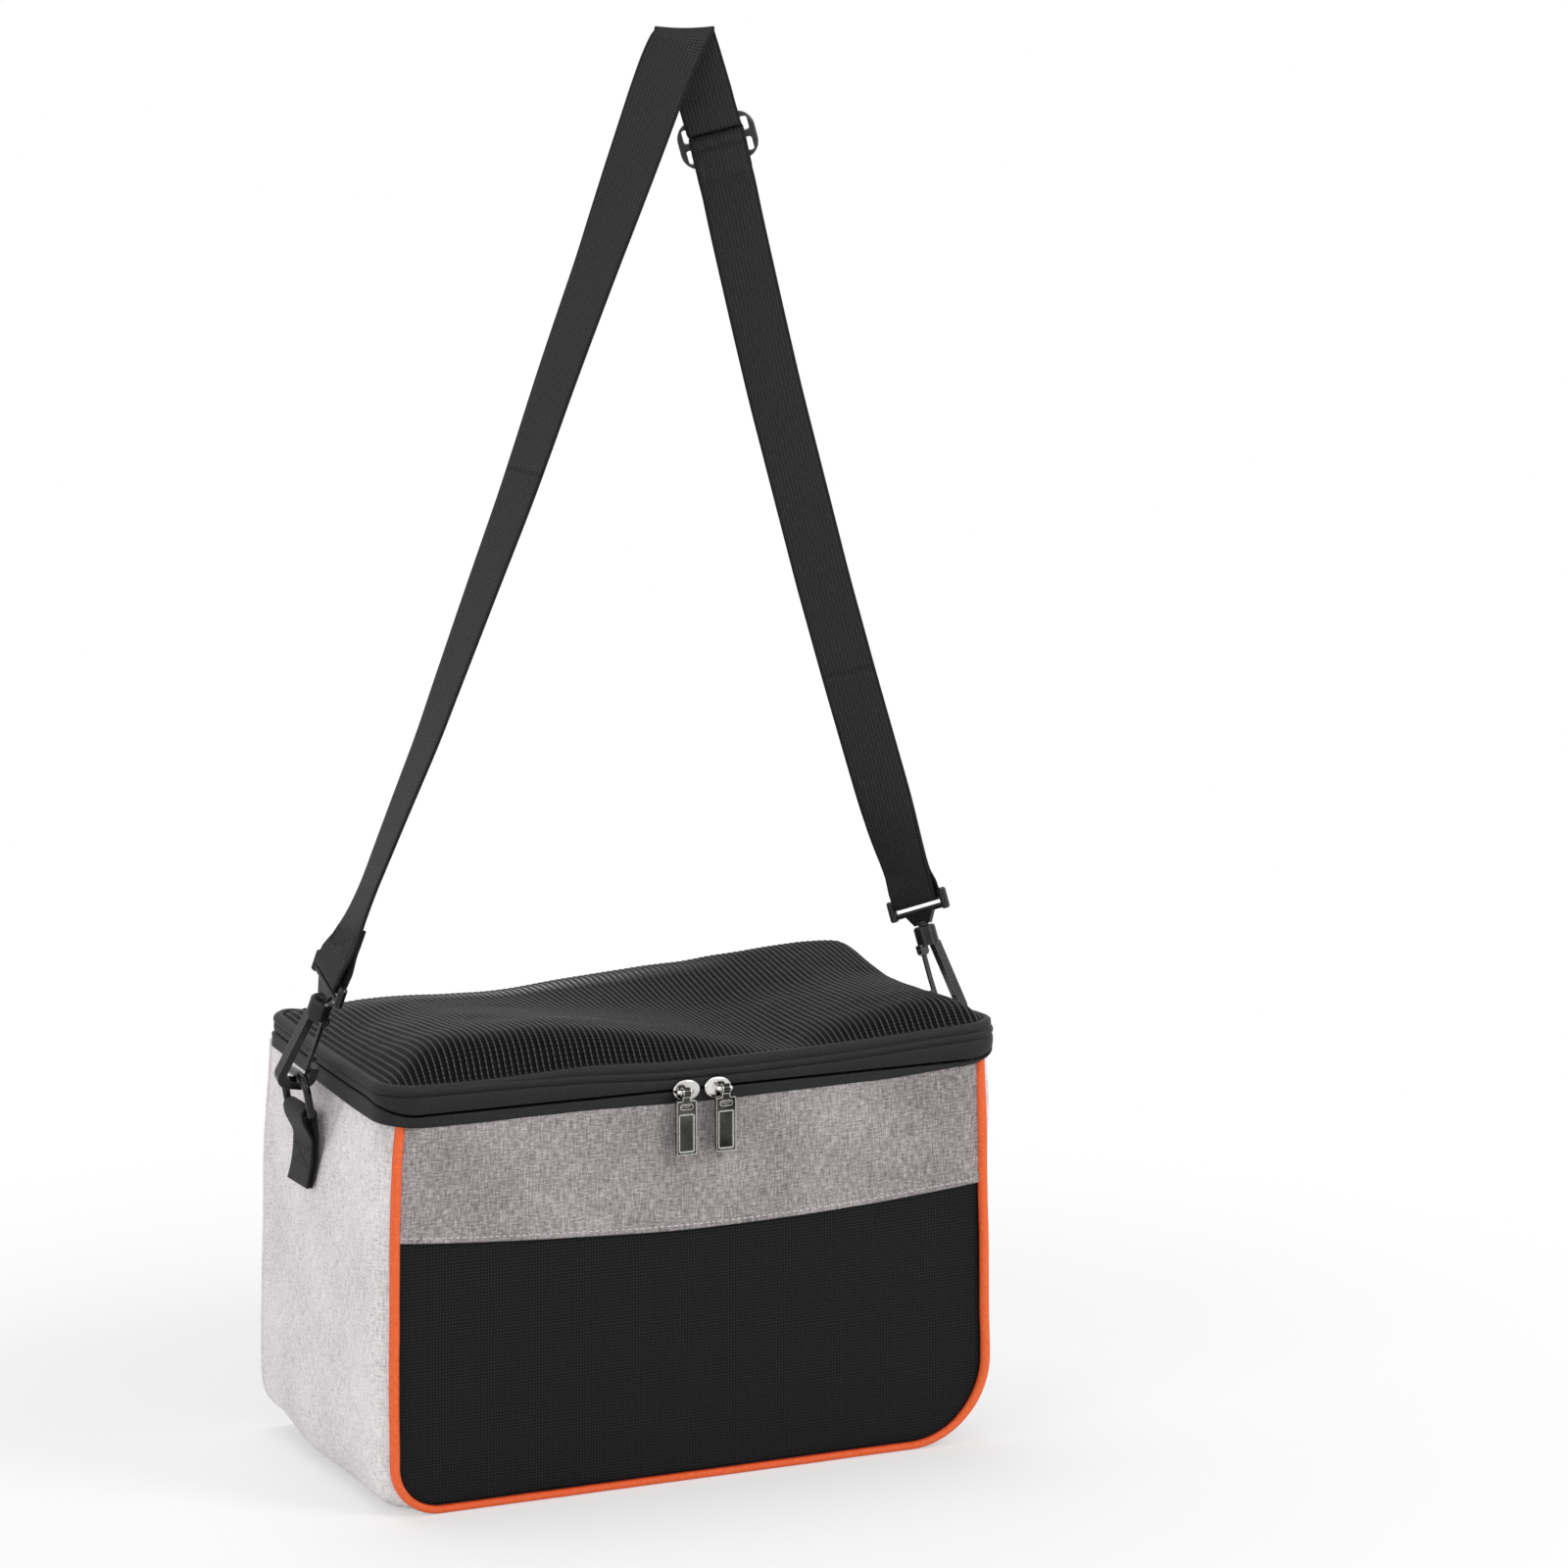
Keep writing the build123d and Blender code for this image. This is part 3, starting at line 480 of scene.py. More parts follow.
melangeCloth = wovenCloth("melangeCloth", (0.145, 0.128, 0.131), (0.325, 0.291, 0.295), (0.58, 0.535, 0.539))
paleCloth = wovenCloth("paleCloth", (0.49, 0.455, 0.463), (0.80, 0.76, 0.768), (0.97, 0.94, 0.947), bump=0.45)
windowCloth = windowNet("windowCloth")
lidCloth = ribbedNet("lidCloth")
webCloth = flatWebbing("webCloth")
bindingCloth = smoothBinding("bindingCloth", (0.005, 0.005, 0.006), (0.013, 0.013, 0.014), 0.55)
# the crest ramp paints shade on the piping's sides and a highlight along its front
pipingCloth = smoothBinding(
    "pipingCloth", (0.80, 0.075, 0.012), (0.95, 0.115, 0.022), 0.42, 0.4,
    crest=((0.2, (0.42, 0.32, 0.4)), (0.62, (1.0, 1.0, 1.0)), (0.98, (1.0, 1.5, 2.1))),
)
threadBlack = smoothBinding("threadBlack", grey(0.02), grey(0.05), 0.7)
threadGrey = smoothBinding("threadGrey", (0.60, 0.56, 0.57), (0.82, 0.78, 0.79), 0.75)
coilPlastic = hardFinish("coilPlastic", (0.012, 0.012, 0.013), (0.03, 0.03, 0.032), 0.0, 0.42, 0.15)
# edge colours in this block are painted highlights along the bevels
nickelPlate = hardFinish(
    "nickelPlate", (0.42, 0.41, 0.40), (0.78, 0.77, 0.75), 1.0, 0.16, 0.12,
    grain=500.0, bump=0.03, edge=(0.93, 0.92, 0.90), edgeShineWidth=0.5,
)
# zip pulls: faces painted dark as a painted reflection, bevels painted bright as painted highlights
darkNickel = hardFinish(
    "darkNickel", (0.02, 0.02, 0.019), (0.09, 0.088, 0.085), 1.0, 0.12, 0.08,
    grain=420.0, bump=0.03, edge=(0.9, 0.89, 0.87), edgeShineWidth=0.8,
)
hookEnamel = hardFinish(
    "hookEnamel", (0.006, 0.006, 0.007), (0.014, 0.014, 0.015), 0.0, 0.24, 0.12,
    bump=0.08, coat=0.12, edge=(0.13, 0.13, 0.135), edgeShineWidth=0.35, gloss=0.28,
)
mouldedBlack = hardFinish(
    "mouldedBlack", (0.009, 0.009, 0.010), (0.018, 0.018, 0.019), 0.0, 0.38, 0.12,
    bump=0.12, edge=(0.035, 0.035, 0.037), edgeShineWidth=0.5,
)
boardPlastic = hardFinish("boardPlastic", (0.04, 0.04, 0.042), (0.07, 0.07, 0.072), 0.0, 0.6, 0.2, bump=0.2)
print("materials ready")

finishes = (
    ("zip_slider", nickelPlate), ("zip_pull", darkNickel), ("strap_adjuster", mouldedBlack),
    ("base_board", boardPlastic), ("_coil", coilPlastic), ("", hookEnamel),
)
for nodeName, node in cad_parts.items():
    node.data.materials.clear()
    node.data.materials.append(next(finish for part, finish in finishes if part in nodeName))
    for face in node.data.polygons:
        face.material_index = 0

# Front: melange panel above the hem, black window below it
front = dict(side=142.2, low=2.8, high=172.7, bulge=1.6, columns=150, panelRows=44, windowRows=50)
hem = dict(height=118.2, dip=-3.0, lift=6.0, rightDrop=1.8, reach=5.5, fold=0.5, overlap=5)
hemStitch = dict(step=3.1, reach=139.0, above=2.2, y=-79.6)


def hemHeight(x):
    u = x / front["side"]
    return hem["height"] + hem["dip"] + hem["lift"] * u * u - (hem["rightDrop"] if u > 0 else 0.0) * u * u


def frontOut(x, z):
    across = 1 - (x / front["side"]) ** 2
    puff = front["bulge"] * max(0.0, across) ** 0.7 * math.sin(math.pi * min(1.0, max(0.0, z / 176.0))) ** 0.6
    pucker = 0.9 * softNoise(x, z * 0.4, 0, 24, 3.1) * smooth((z - 104) / 60) + 0.5 * softNoise(x, z, 0, 48, 8.0)
    pucker += 0.45 * softNoise(x * 0.6, z * 1.5, 0, 20, 11.0) * smooth((40 - z) / 30)
    return puff + pucker * max(0.0, across) ** 0.35


def frontEdge(z, side):
    # half width at a height: straight side, rounded bottom corner
    radius = outline["leftCorner" if side < 0 else "rightCorner"] - bag["piping"]
    lift = z - front["low"]
    if lift >= radius:
        return front["side"]
    return front["side"] - radius + math.sqrt(max(0.0, radius * radius - (radius - max(0.0, lift)) ** 2))


def frontGrid(name, lowOf, highOf, setBack, thickness, rows, reach=0.0):
    # the last value is how far the folded hem reaches above the panel's lower edge
    grid = []
    for i in range(rows + 1):
        row = []
        for j in range(front["columns"] + 1):
            u = 2 * j / front["columns"] - 1
            low, high = lowOf(u * front["side"]), highOf(u * front["side"])
            z = low + (high - low) * i / rows
            x = u * frontEdge(z, u)
            y = bag["frontY"] + setBack - frontOut(x, z)
            if reach and z - low < reach:
                y -= hem["fold"] * smooth((reach - (z - low)) / 1.5)
            spot = wallSpot(x, y, z)
            row.append((spot, spot + Vector((0, thickness, 0)), (x, z)))
        grid.append(row)
    return slab(name, grid)


frontPanel = frontGrid("frontPanel", hemHeight, lambda x: front["high"], 0.0, 1.6, front["panelRows"], hem["reach"])
finishPiece(frontPanel, "bag", melangeCloth, "melange_fabric", "front_upper_panel")
meshWindow = frontGrid(
    "meshWindow", lambda x: front["low"], lambda x: hemHeight(x) + hem["overlap"], 1.5, 1.2, front["windowRows"]
)
finishPiece(meshWindow, "bag", windowCloth, "black_mesh", "front_mesh_window")


def hemSpot(x):
    z = hemHeight(x) + hemStitch["above"]
    return wallSpot(x, hemStitch["y"] - frontOut(x, z), z)


hemSpots = []
x = -hemStitch["reach"]
while x < hemStitch["reach"]:
    hemSpots.append((hemSpot(x), (hemSpot(x + 1) - hemSpot(x)).normalized(), Vector((0, -1, 0))))
    x += hemStitch["step"]
hemStitches = threadRow("hemStitches", hemSpots)
finishPiece(hemStitches, "bag", threadGrey, "melange_fabric")
print("front sewn")

# One strip of pale cloth makes the left end, the underside and the right end
gusset = dict(
    lip=5.0, tabPull=5.0, front=-77.2, back=75.8, top=171.8, seam=4.5, thickness=3.2, tuck=4.8, tuckReach=3.4, puff=2.4,
    rearFlare=2.6, topPinch=3.0, along=240, acrossCount=64,
)


def squareness(fromFront):
    # the corner is as round as the piping at the front seam and squarer behind it
    return 2.0 + 1.2 * smooth(fromFront / 16)


def gussetLine(count):
    # outline of the strip seen from the front, left top to right top: corner centre, direction, reach
    side, top = bag["endFace"], gusset["top"]
    left, right = outline["leftCorner"] + gusset["seam"], outline["rightCorner"] + gusset["seam"]
    ends = np.cumsum((top - left, math.pi / 2 * left, 2 * side - left - right, math.pi / 2 * right, top - right))
    spots = []
    for i in range(count + 1):
        s = float(ends[4]) * i / count
        if s < ends[0]:
            spots.append((-side, top - s, -1.0, 0.0, s, None))
        elif s < ends[1]:
            a = (s - ends[0]) / left
            spots.append((-side + left, left, -math.cos(a), -math.sin(a), s, left))
        elif s < ends[2]:
            spots.append((-side + left + (s - ends[1]), 0.0, 0.0, -1.0, s, None))
        elif s < ends[3]:
            a = (s - ends[2]) / right
            spots.append((side - right, right, math.sin(a), -math.cos(a), s, right))
        else:
            spots.append((side, s - ends[3] + right, 1.0, 0.0, s, None))
    return spots


def hump(distance, width):
    return math.exp(-((distance / width) ** 2))


def gussetSpot(spot, y, deeper=0.0):
    x, z, outX, outZ, s, radius = spot
    fromFront, fromBack = y - gusset["front"], gusset["back"] - y
    if radius is not None:
        power = squareness(fromFront)
        reach = radius * (abs(outX) ** power + abs(outZ) ** power) ** (-1 / power)
        x, z = x + outX * reach, z + outZ * reach
    upright = abs(outX) ** 2
    low = 1 - smooth((z - 118) / 50)
    reach = gusset["tuckReach"] + 4.5 * smooth((z - 90) / 60)
    tuck = gusset["tuck"] * math.exp(-((fromFront / reach) ** 1.3)) * (0.45 + 0.55 * upright)
    lip = gusset["lip"] * hump(fromFront - 5, 5) * smooth((x - 100) / 30) * smooth((z - 105) / 50)
    puff = gusset["puff"] * (1 - math.exp(-fromFront / 6)) * (0.35 + 0.65 * low) * (0.3 + 0.7 * smooth(fromBack / 60))
    flare = gusset["rearFlare"] * smooth(fromFront / 150) * (1 - smooth((z - 30) / 100))
    ripple = 1.4 * softNoise(x * 0.2, y, z * 0.6, 27, 5.0) + 0.5 * softNoise(x * 0.2, y * 1.2, z, 12, 7.0)
    ripple *= smooth(fromFront / 14) * smooth(fromBack / 12) * smooth((z - 12) / 40)
    groove = y + 9 + (z - 150) * 0.35
    fold = hump(groove, 4.5) - 0.8 * hump(groove + 20, 13)
    pinch = gusset["topPinch"] * smooth((z - 122) / 40) * fold
    pulled = gusset["tabPull"] * hump(y - 2, 21) * smooth((z - 108) / 28) * (1 - smooth((z - 158) / 13))
    out = (puff + flare + ripple + lip + pulled - pinch) * upright - tuck - deeper
    out = min(out, 0.0) if outZ < -0.9 else out
    return wallSpot(x + outX * out, y, max(0.3, z + outZ * out))


grid = []
for spot in gussetLine(gusset["along"]):
    row = []
    for j in range(gusset["acrossCount"] + 1):
        t = 0.5 - 0.5 * math.cos(math.pi * j / gusset["acrossCount"])
        y = gusset["front"] + (gusset["back"] - gusset["front"]) * t
        lifted = Vector((0, 0, 2.4 if spot[3] < -0.9 else 0))
        row.append((gussetSpot(spot, y), gussetSpot(spot, y, gusset["thickness"]) + lifted, (y, spot[4])))
    grid.append(row)
endAndBase = slab("endAndBase", grid)
finishPiece(endAndBase, "bag", paleCloth, "grey_fabric", "left_end_panel", "right_end_panel", "bottom_panel")
print("gusset sewn")

# Back panel
rear = dict(
    low=1.2, high=175.5, halfWidth=146.6, flare=3.0, power=3.2, y=76.6, puff=1.8, thickness=3.0, rows=60, columns=100,
)
grid = []
for i in range(rear["rows"] + 1):
    z = rear["low"] + (rear["high"] - rear["low"]) * i / rear["rows"]
    sides = {}
    for side in ("left", "right"):
        radius, power = outline[side + "Corner"] + gusset["seam"], rear["power"]
        sides[side] = rear["halfWidth"] + rear["flare"] * (1 - smooth((z - 30) / 100))
        if z < radius:
            sides[side] += radius * (max(0.0, 1 - ((radius - z) / radius) ** power) ** (1 / power) - 1)
    row = []
    for j in range(rear["columns"] + 1):
        u = 2 * j / rear["columns"] - 1
        x = u * sides["left" if u < 0 else "right"]
        puff = rear["puff"] * max(0.0, 1 - u * u) ** 0.6 * math.sin(math.pi * min(1.0, z / 176)) ** 0.5
        y = rear["y"] + puff + 0.7 * softNoise(x, 0, z, 42, 12.0) * (1 - u ** 4)
        spot = wallSpot(x, y, z)
        row.append((spot, spot - Vector((0, rear["thickness"], 0)), (x, z)))
    grid.append(row)
backCloth = slab("backCloth", grid)
finishPiece(backCloth, "bag", melangeCloth, "melange_fabric", "back_panel")

# Back seam: a narrow binding of the same cloth along the sides and the bottom
seam = dict(count=170, y=76.5, inward=0.6, floorGap=0.5, radius=1.3, sides=12)
backSeam = []
for spot in gussetLine(seam["count"]):
    place = gussetSpot(spot, gusset["back"])
    raised = seam["floorGap"] if spot[3] < -0.5 else 0
    backSeam.append(Vector((
        place.x - spot[2] * seam["inward"], seam["y"], place.z - spot[3] * seam["inward"] + raised,
    )))
backCord = tube("backCord", backSeam, seam["radius"], seam["sides"])
finishPiece(backCord, "bag", paleCloth, "grey_fabric")

# Orange piping round the front
pipingValues = dict(radius=2.25, under=1.85, low=2.0, top=173.0, step=2.4, bends=18, sides=16)
pipePath = []
half, low, top = bag["halfWidth"], pipingValues["low"], pipingValues["top"]
leftCorner, rightCorner = outline["leftCorner"], outline["rightCorner"]
count = int((top - low - leftCorner) / pipingValues["step"])
for i in range(count):
    pipePath.append((-half, top - (top - low - leftCorner) * i / count))
for i in range(pipingValues["bends"]):
    a = math.pi / 2 * i / pipingValues["bends"]
    pipePath.append((-half + leftCorner * (1 - math.cos(a)), low + leftCorner * (1 - math.sin(a))))
across = int((2 * half - leftCorner - rightCorner) / pipingValues["step"])
for i in range(across):
    pipePath.append((-half + leftCorner + (2 * half - leftCorner - rightCorner) * i / across, low))
for i in range(pipingValues["bends"]):
    a = math.pi / 2 * i / pipingValues["bends"]
    pipePath.append((half - rightCorner * (1 - math.sin(a)), low + rightCorner * (1 - math.cos(a))))
for i in range(count + 1):
    pipePath.append((half, low + rightCorner + (top - low - rightCorner) * i / count))
pipeSpots = []
for x, z in pipePath:
    wobble = 0.35 * softNoise(x, 0, z, 30, 1.7)
    y = bag["frontY"] + 0.25 * softNoise(x, 3, z, 22, 2.2)
    pipeSpots.append(wallSpot(x + wobble * (1 if abs(x) > 130 else 0), y, z))


def pipeRadius(i):
    under, full = pipingValues["under"], pipingValues["radius"]
    return under + (full - under) * smooth((pipeSpots[i].z - 2) / 22) + 0.08 * softNoise(i, 0, 0, 5, 4.0)


orangePiping = tube("orangePiping", pipeSpots, pipeRadius, pipingValues["sides"])
finishPiece(orangePiping, "bag", pipingCloth, "orange_piping", "front_piping")
print("piping sewn")


# Rim: bands of the zip, followed round the rounded rim
def rimTrack(halfX, frontY, backY, corner, closed=True, endY=None, step=3.0):
    track = []

    def straight(x0, y0, x1, y1, nx, ny):
        length = math.hypot(x1 - x0, y1 - y0)
        pieces = max(1, int(length / step))
        for k in range(pieces):
            track.append((x0 + (x1 - x0) * k / pieces, y0 + (y1 - y0) * k / pieces, nx, ny))

    def bend(cx, cy, start):
        for k in range(12):
            a = start + math.pi / 2 * k / 12
            track.append((cx + corner * math.cos(a), cy + corner * math.sin(a), math.cos(a), math.sin(a)))

    stop = backY - corner if endY is None else endY
    straight(-halfX, stop, -halfX, -frontY + corner, -1, 0)
    bend(-halfX + corner, -frontY + corner, math.pi)
    straight(-halfX + corner, -frontY, halfX - corner, -frontY, 0, -1)
    bend(halfX - corner, -frontY + corner, 1.5 * math.pi)
    straight(halfX, -frontY + corner, halfX, stop, 1, 0)
    if not closed:
        track.append((halfX, stop, 1, 0))
        return track
    bend(halfX - corner, backY - corner, 0)
    straight(halfX - corner, backY, -halfX + corner, backY, 0, 1)
    bend(-halfX + corner, backY - corner, 0.5 * math.pi)
    return track


def cornerPush(x, y, z=190.0):
    # the right front corner of the rim stands out and curls in below
    return 4.4 * smooth((x - 114) / 34) * smooth((-32 - y) / 36) * smooth((z - 171.5) / 7)


bandDrop = ((-147, 3.2), (-136, 4.4), (-100, 4.2), (-60, 3.2), (-20, 1.4), (60, 1.2), (90, 2.2), (147, 1.6))


def rimBand(name, track, profile, closed, edge=None):
    sections = []
    for x, y, nx, ny in track:
        ring = []
        lower = tableAt(bandDrop, x) * (1 - 0.4 * smooth((y + 60) / 100))
        for out, z in profile:
            px, py = x + nx * out, y + ny * out
            lift = rimLift(x, y)
            if edge == "lower":
                away = smooth((rim["lowEdge"] - z) / rim["lowFade"])
                lift = (lift - lower) * away + zipLift(x, y) * (1 - away)
            elif edge == "upper":
                away = smooth((z - rim["highEdge"]) / rim["highFade"])
                lift = lift * away + zipLift(x, y) * (1 - away)
            ring.append(Vector((px + cornerPush(x, y, z), py, z + lift)))
        sections.append(ring)
    return sweepLoop(name, sections, closed)


lowTrack = rimTrack(rim["halfX"], rim["halfY"], rim["halfY"], rim["corner"], closed=False, endY=rim["bandEnd"])
lowProfile = [
    (-2.4, 173.6), (-1.2, 173.0), (-0.2, 173.4), (0.15, 174.1), (0.05, 175.0), (-0.1, 175.8), (-0.1, 176.8),
    (-0.05, 177.7), (-0.35, 178.2), (-1.2, 178.3), (-2.2, 178.1), (-2.5, 176.0),
]
lowerBand = rimBand("lowerBand", lowTrack, lowProfile, False, "lower")
finishPiece(lowerBand, "bag", bindingCloth, "black_binding", "lower_zip_tape")

upTrack = rimTrack(rim["halfX"], rim["halfY"], rim["back"], rim["corner"])
upProfile = [
    (-2.4, 179.5), (-1.2, 179.3), (-0.35, 179.4), (-0.05, 179.9), (0.1, 180.8), (0.0, 181.8), (-0.5, 182.7),
    (-2.4, 183.2), (-2.6, 181.2),
]
upperBand = rimBand("upperBand", upTrack, upProfile, True, "upper")
finishPiece(upperBand, "lid", bindingCloth, "black_binding", "lid_rim_tape")

inset = rim["pipingInset"]
pipeTrack = rimTrack(rim["halfX"] - inset, rim["halfY"] - inset, rim["back"] - inset, rim["corner"] - 2)
pipeLine = [Vector((x + cornerPush(x, y), y, rim["pipingZ"] + rimLift(x, y))) for x, y, nx, ny in pipeTrack]
lidPipe = tube("lidPipe", pipeLine, rim["pipingRadius"], closed=True)
finishPiece(lidPipe, "lid", bindingCloth, "black_binding", "lid_piping")

band = dict(halfLength=133.5, y=78.5, count=80)
backTrack = []
for k in range(band["count"] + 1):
    backTrack.append((band["halfLength"] - 2 * band["halfLength"] * k / band["count"], band["y"], 0, 1))
backProfile = [(-3.4, 171.6), (-0.2, 171.8), (0.25, 173.5), (0.1, 176.0), (-0.2, 177.6), (-1.6, 178.2), (-3.2, 177.6)]
rearBand = rimBand("rearBand", backTrack, backProfile, False)
finishPiece(rearBand, "bag", bindingCloth, "black_binding", "rear_binding")

# Fabric hinge: a folded tape at the back of the rim, fixed in the scene
hinge = dict(halfLength=132.5, count=60, sides=14, y=78.4, z=178.8, halfDepth=1.215, halfHeight=2.3)
hingeRows = []
for k in range(hinge["count"] + 1):
    x = hinge["halfLength"] - 2 * hinge["halfLength"] * k / hinge["count"]
    lift = rimLift(x, 78.0)
    ring = []
    for a in range(hinge["sides"]):
        angle = 2 * math.pi * a / hinge["sides"]
        deep, tall = hinge["halfDepth"] * math.cos(angle), hinge["halfHeight"] * math.sin(angle)
        ring.append(Vector((x, hinge["y"] + deep, hinge["z"] + lift + tall)))
    hingeRows.append(ring)
hingeTape = sweepLoop("hingeTape", hingeRows, False)
finishPiece(hingeTape, None, bindingCloth, "black_binding", "hinge_welt")
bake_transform(hingeTape)

# Zip teeth on both tapes
teeth = dict(
    pitch=3.0, width=1.5, height=1.1, depth=1.4, inset=3.2, endY=62.0, middle=178.0, lowBase=176.8, lowFirst=0.5,
    highBase=180.8, highFirst=2.0,
)


def zipTeeth(name, base, way, offset):
    points, faces = [], []
    halfX, halfY, corner = (rim[key] - teeth["inset"] for key in ("halfX", "halfY", "corner"))
    track = rimTrack(halfX, halfY, rim["halfY"], corner, False, teeth["endY"], 0.75)
    walked, due, last = 0.0, offset, None
    for x, y, nx, ny in track:
        if last is not None:
            walked += math.hypot(x - last[0], y - last[1])
        last = (x, y)
        if walked < due:
            continue
        due += teeth["pitch"]
        tx, ty = -ny, nx
        lift = zipLift(x, y)
        start = len(points)
        for along in (-1, 1):
            for deep in (-1, 1):
                for tall, pinch in ((0, 1.0), (0.7, 1.0), (1, 0.6)):
                    wide, thick = along * teeth["width"] / 2 * pinch, deep * teeth["depth"] / 2 * pinch
                    points.append(Vector((
                        cornerPush(x, y, teeth["middle"]) + x + tx * wide + nx * thick, y + ty * wide + ny * thick,
                        base + way * tall * teeth["height"] + lift,
                    )))
        for k in (0, 1):
            a, b, c, d = start + k, start + 3 + k, start + 9 + k, start + 6 + k
            for p, q in ((a, b), (b, c), (c, d), (d, a)):
                faces.append((p, q, q + 1, p + 1))
        faces.append((start, start + 3, start + 9, start + 6))
        faces.append((start + 2, start + 5, start + 11, start + 8))
    return newPiece(name, points, faces, [(p.x, p.y) for p in points], flat=True)


lowerTeeth = zipTeeth("lowerTeeth", teeth["lowBase"], 1, teeth["lowFirst"])
finishPiece(lowerTeeth, "bag", coilPlastic, "zip_coil", "lower_zip_coil")
upperTeeth = zipTeeth("upperTeeth", teeth["highBase"], -1, teeth["highFirst"])
finishPiece(upperTeeth, "lid", coilPlastic, "zip_coil", "upper_zip_coil")
print("rim and zip sewn")

# Lid: ribbed net, crowned, with a ridge behind its front edge and a dent right of the zip pulls
lid = dict(
    inset=4.3, corner=13.0, base=185.0, ribHeight=0.7, perRib=6, rows=70, thickness=1.0, shoulder=7.5, leftSoft=19.0,
    rightSoft=5.0, rounding=14.0,
)
lid["halfX"] = rim["halfX"] - lid["inset"]
lid["frontY"], lid["backY"] = lid["inset"] - rim["halfY"], rim["back"] - lid["inset"]
lidForm = dict(
    strip=((-147, 0.8), (-95, 0.9), (-45, 3.6), (40, 4.0), (147, 3.4)),
    ridge=(
        (-144, 11), (-136, 15.5), (-112, 19), (-84, 17.5), (-53, 15.5), (-17, 11), (7, 7), (28, 1.5), (46, -1.0),
        (66, 4), (93, 8.5), (116, 11.5), (144, 7),
    ),
    middle=((-144, 9), (-100, 14), (-40, 10), (10, 6), (45, 3), (75, 6.5), (105, 9.5), (144, 6)),
    crest=((-144, 11), (-100, 10.7), (-46, 8.6), (0, 12), (50, 13.2), (104, 15.4), (128, 14.6), (144, 15.4)),
)


def stripRise(x, y):
    # height of the smooth strip between the piping and the net
    return tableAt(lidForm["strip"], x) * (1 - 0.6 * smooth((y + 60) / 90))


def lidHeight(x, y, heights):
    ridge, middle, crest = heights
    places = (-76.6, -50, -26, 8, 40, 58, 73.6)
    levels = (ridge, ridge, (ridge + middle) / 2, middle, (middle + 2 * crest) / 3, crest, crest)
    value = float(np.mean(np.interp(y + np.linspace(-8, 8, 5), places, levels)))
    middleY, halfY = (lid["frontY"] + lid["backY"]) / 2, (lid["backY"] - lid["frontY"]) / 2
    qx, qy = abs(x) - (lid["halfX"] - lid["rounding"]), abs(y - middleY) - (halfY - lid["rounding"])
    inside = lid["rounding"] - math.hypot(max(qx, 0.0), max(qy, 0.0)) - min(max(qx, qy), 0.0)
    soft = lid["leftSoft"] if x < 0 else lid["rightSoft"]
    rise = 1 - math.exp(-((max(0.0, halfY - abs(y - middleY)) / lid["shoulder"]) ** 1.4))
    rise *= 1 - math.exp(-((max(0.0, lid["halfX"] - abs(x)) / soft) ** 1.3))
    rise *= 1 - math.exp(-((max(0.0, inside) / 2.5) ** 1.2))
    wrinkle = 0.7 * softNoise(x, y, 0, 34, 6.0) + 0.4 * softNoise(x * 0.7, y, 0, 15, 9.0)
    wrinkle += 1.3 * smooth((-96 - x) / 30) * softNoise(x, y * 0.35, 0, 11, 4.0)
    return rise * (value + wrinkle)


def stripProfile(x, y):
    top = lid["base"] + stripRise(x, y)
    return [
        (-2.4, 185.2), (-1.2, 185.4), (-0.7, 186.0), (-1.0, top + 0.6), (-2.2, top + 1.5), (-4.0, top + 1.3),
        (-4.6, top + 0.2), (-3.4, 185.6),
    ]


stripRows = []
for x, y, nx, ny in upTrack:
    push, lift = cornerPush(x, y), rimLift(x, y)
    stripRows.append([Vector((x + nx * out + push, y + ny * out, z + lift)) for out, z in stripProfile(x, y)])
lidStrip = sweepLoop("lidStrip", stripRows, True)
finishPiece(lidStrip, "lid", bindingCloth, "black_binding")

columns = int(2 * lid["halfX"] / net["ribPitch"] * lid["perRib"])
grid = []
for j in range(columns + 1):
    x = -lid["halfX"] + 2 * lid["halfX"] * j / columns
    over = abs(x) - (lid["halfX"] - lid["corner"])
    cut = lid["corner"] - math.sqrt(max(0.0, lid["corner"] ** 2 - max(0.0, over) ** 2))
    low, high = lid["frontY"] + cut, lid["backY"] - cut
    rib = abs(math.sin(math.pi * x / net["ribPitch"])) ** 0.8
    heights = [tableAt(lidForm[key], x) for key in ("ridge", "middle", "crest")]
    row = []
    for i in range(lid["rows"] + 1):
        t = i / lid["rows"]
        y = low + (high - low) * (t - 0.06 * math.sin(2 * math.pi * t))
        z = lid["base"] + 0.9 + stripRise(x, y) + rimLift(x, y) + lidHeight(x, y, heights)
        near = min(1.0, max(0.0, min(y - low, high - y) / 2.0))
        shifted = x + cornerPush(x, y)
        upper, under = z + lid["ribHeight"] * rib * near, z - lid["thickness"]
        row.append((Vector((shifted, y, upper)), Vector((shifted, y, under)), (x, y)))
    grid.append(row)
lidNet = slab("lidNet", grid)
finishPiece(lidNet, "lid", lidCloth, "black_mesh", "lid_mesh")
print("lid sewn")

# Tabs: doubled webbing sewn at the end's top, hanging a little loose below each ring
tab = dict(
    width=25.0, thickness=1.5, centreY=2.0, drift=3.4, low=133.0, top=156.0, barX=157.0, barZ=167.0, loop=2.95,
    flare=2.2, twist=1.0, seat=5.8, stitchHalf=9,
    stitchTop=0.06, stitchLow=0.5,
)


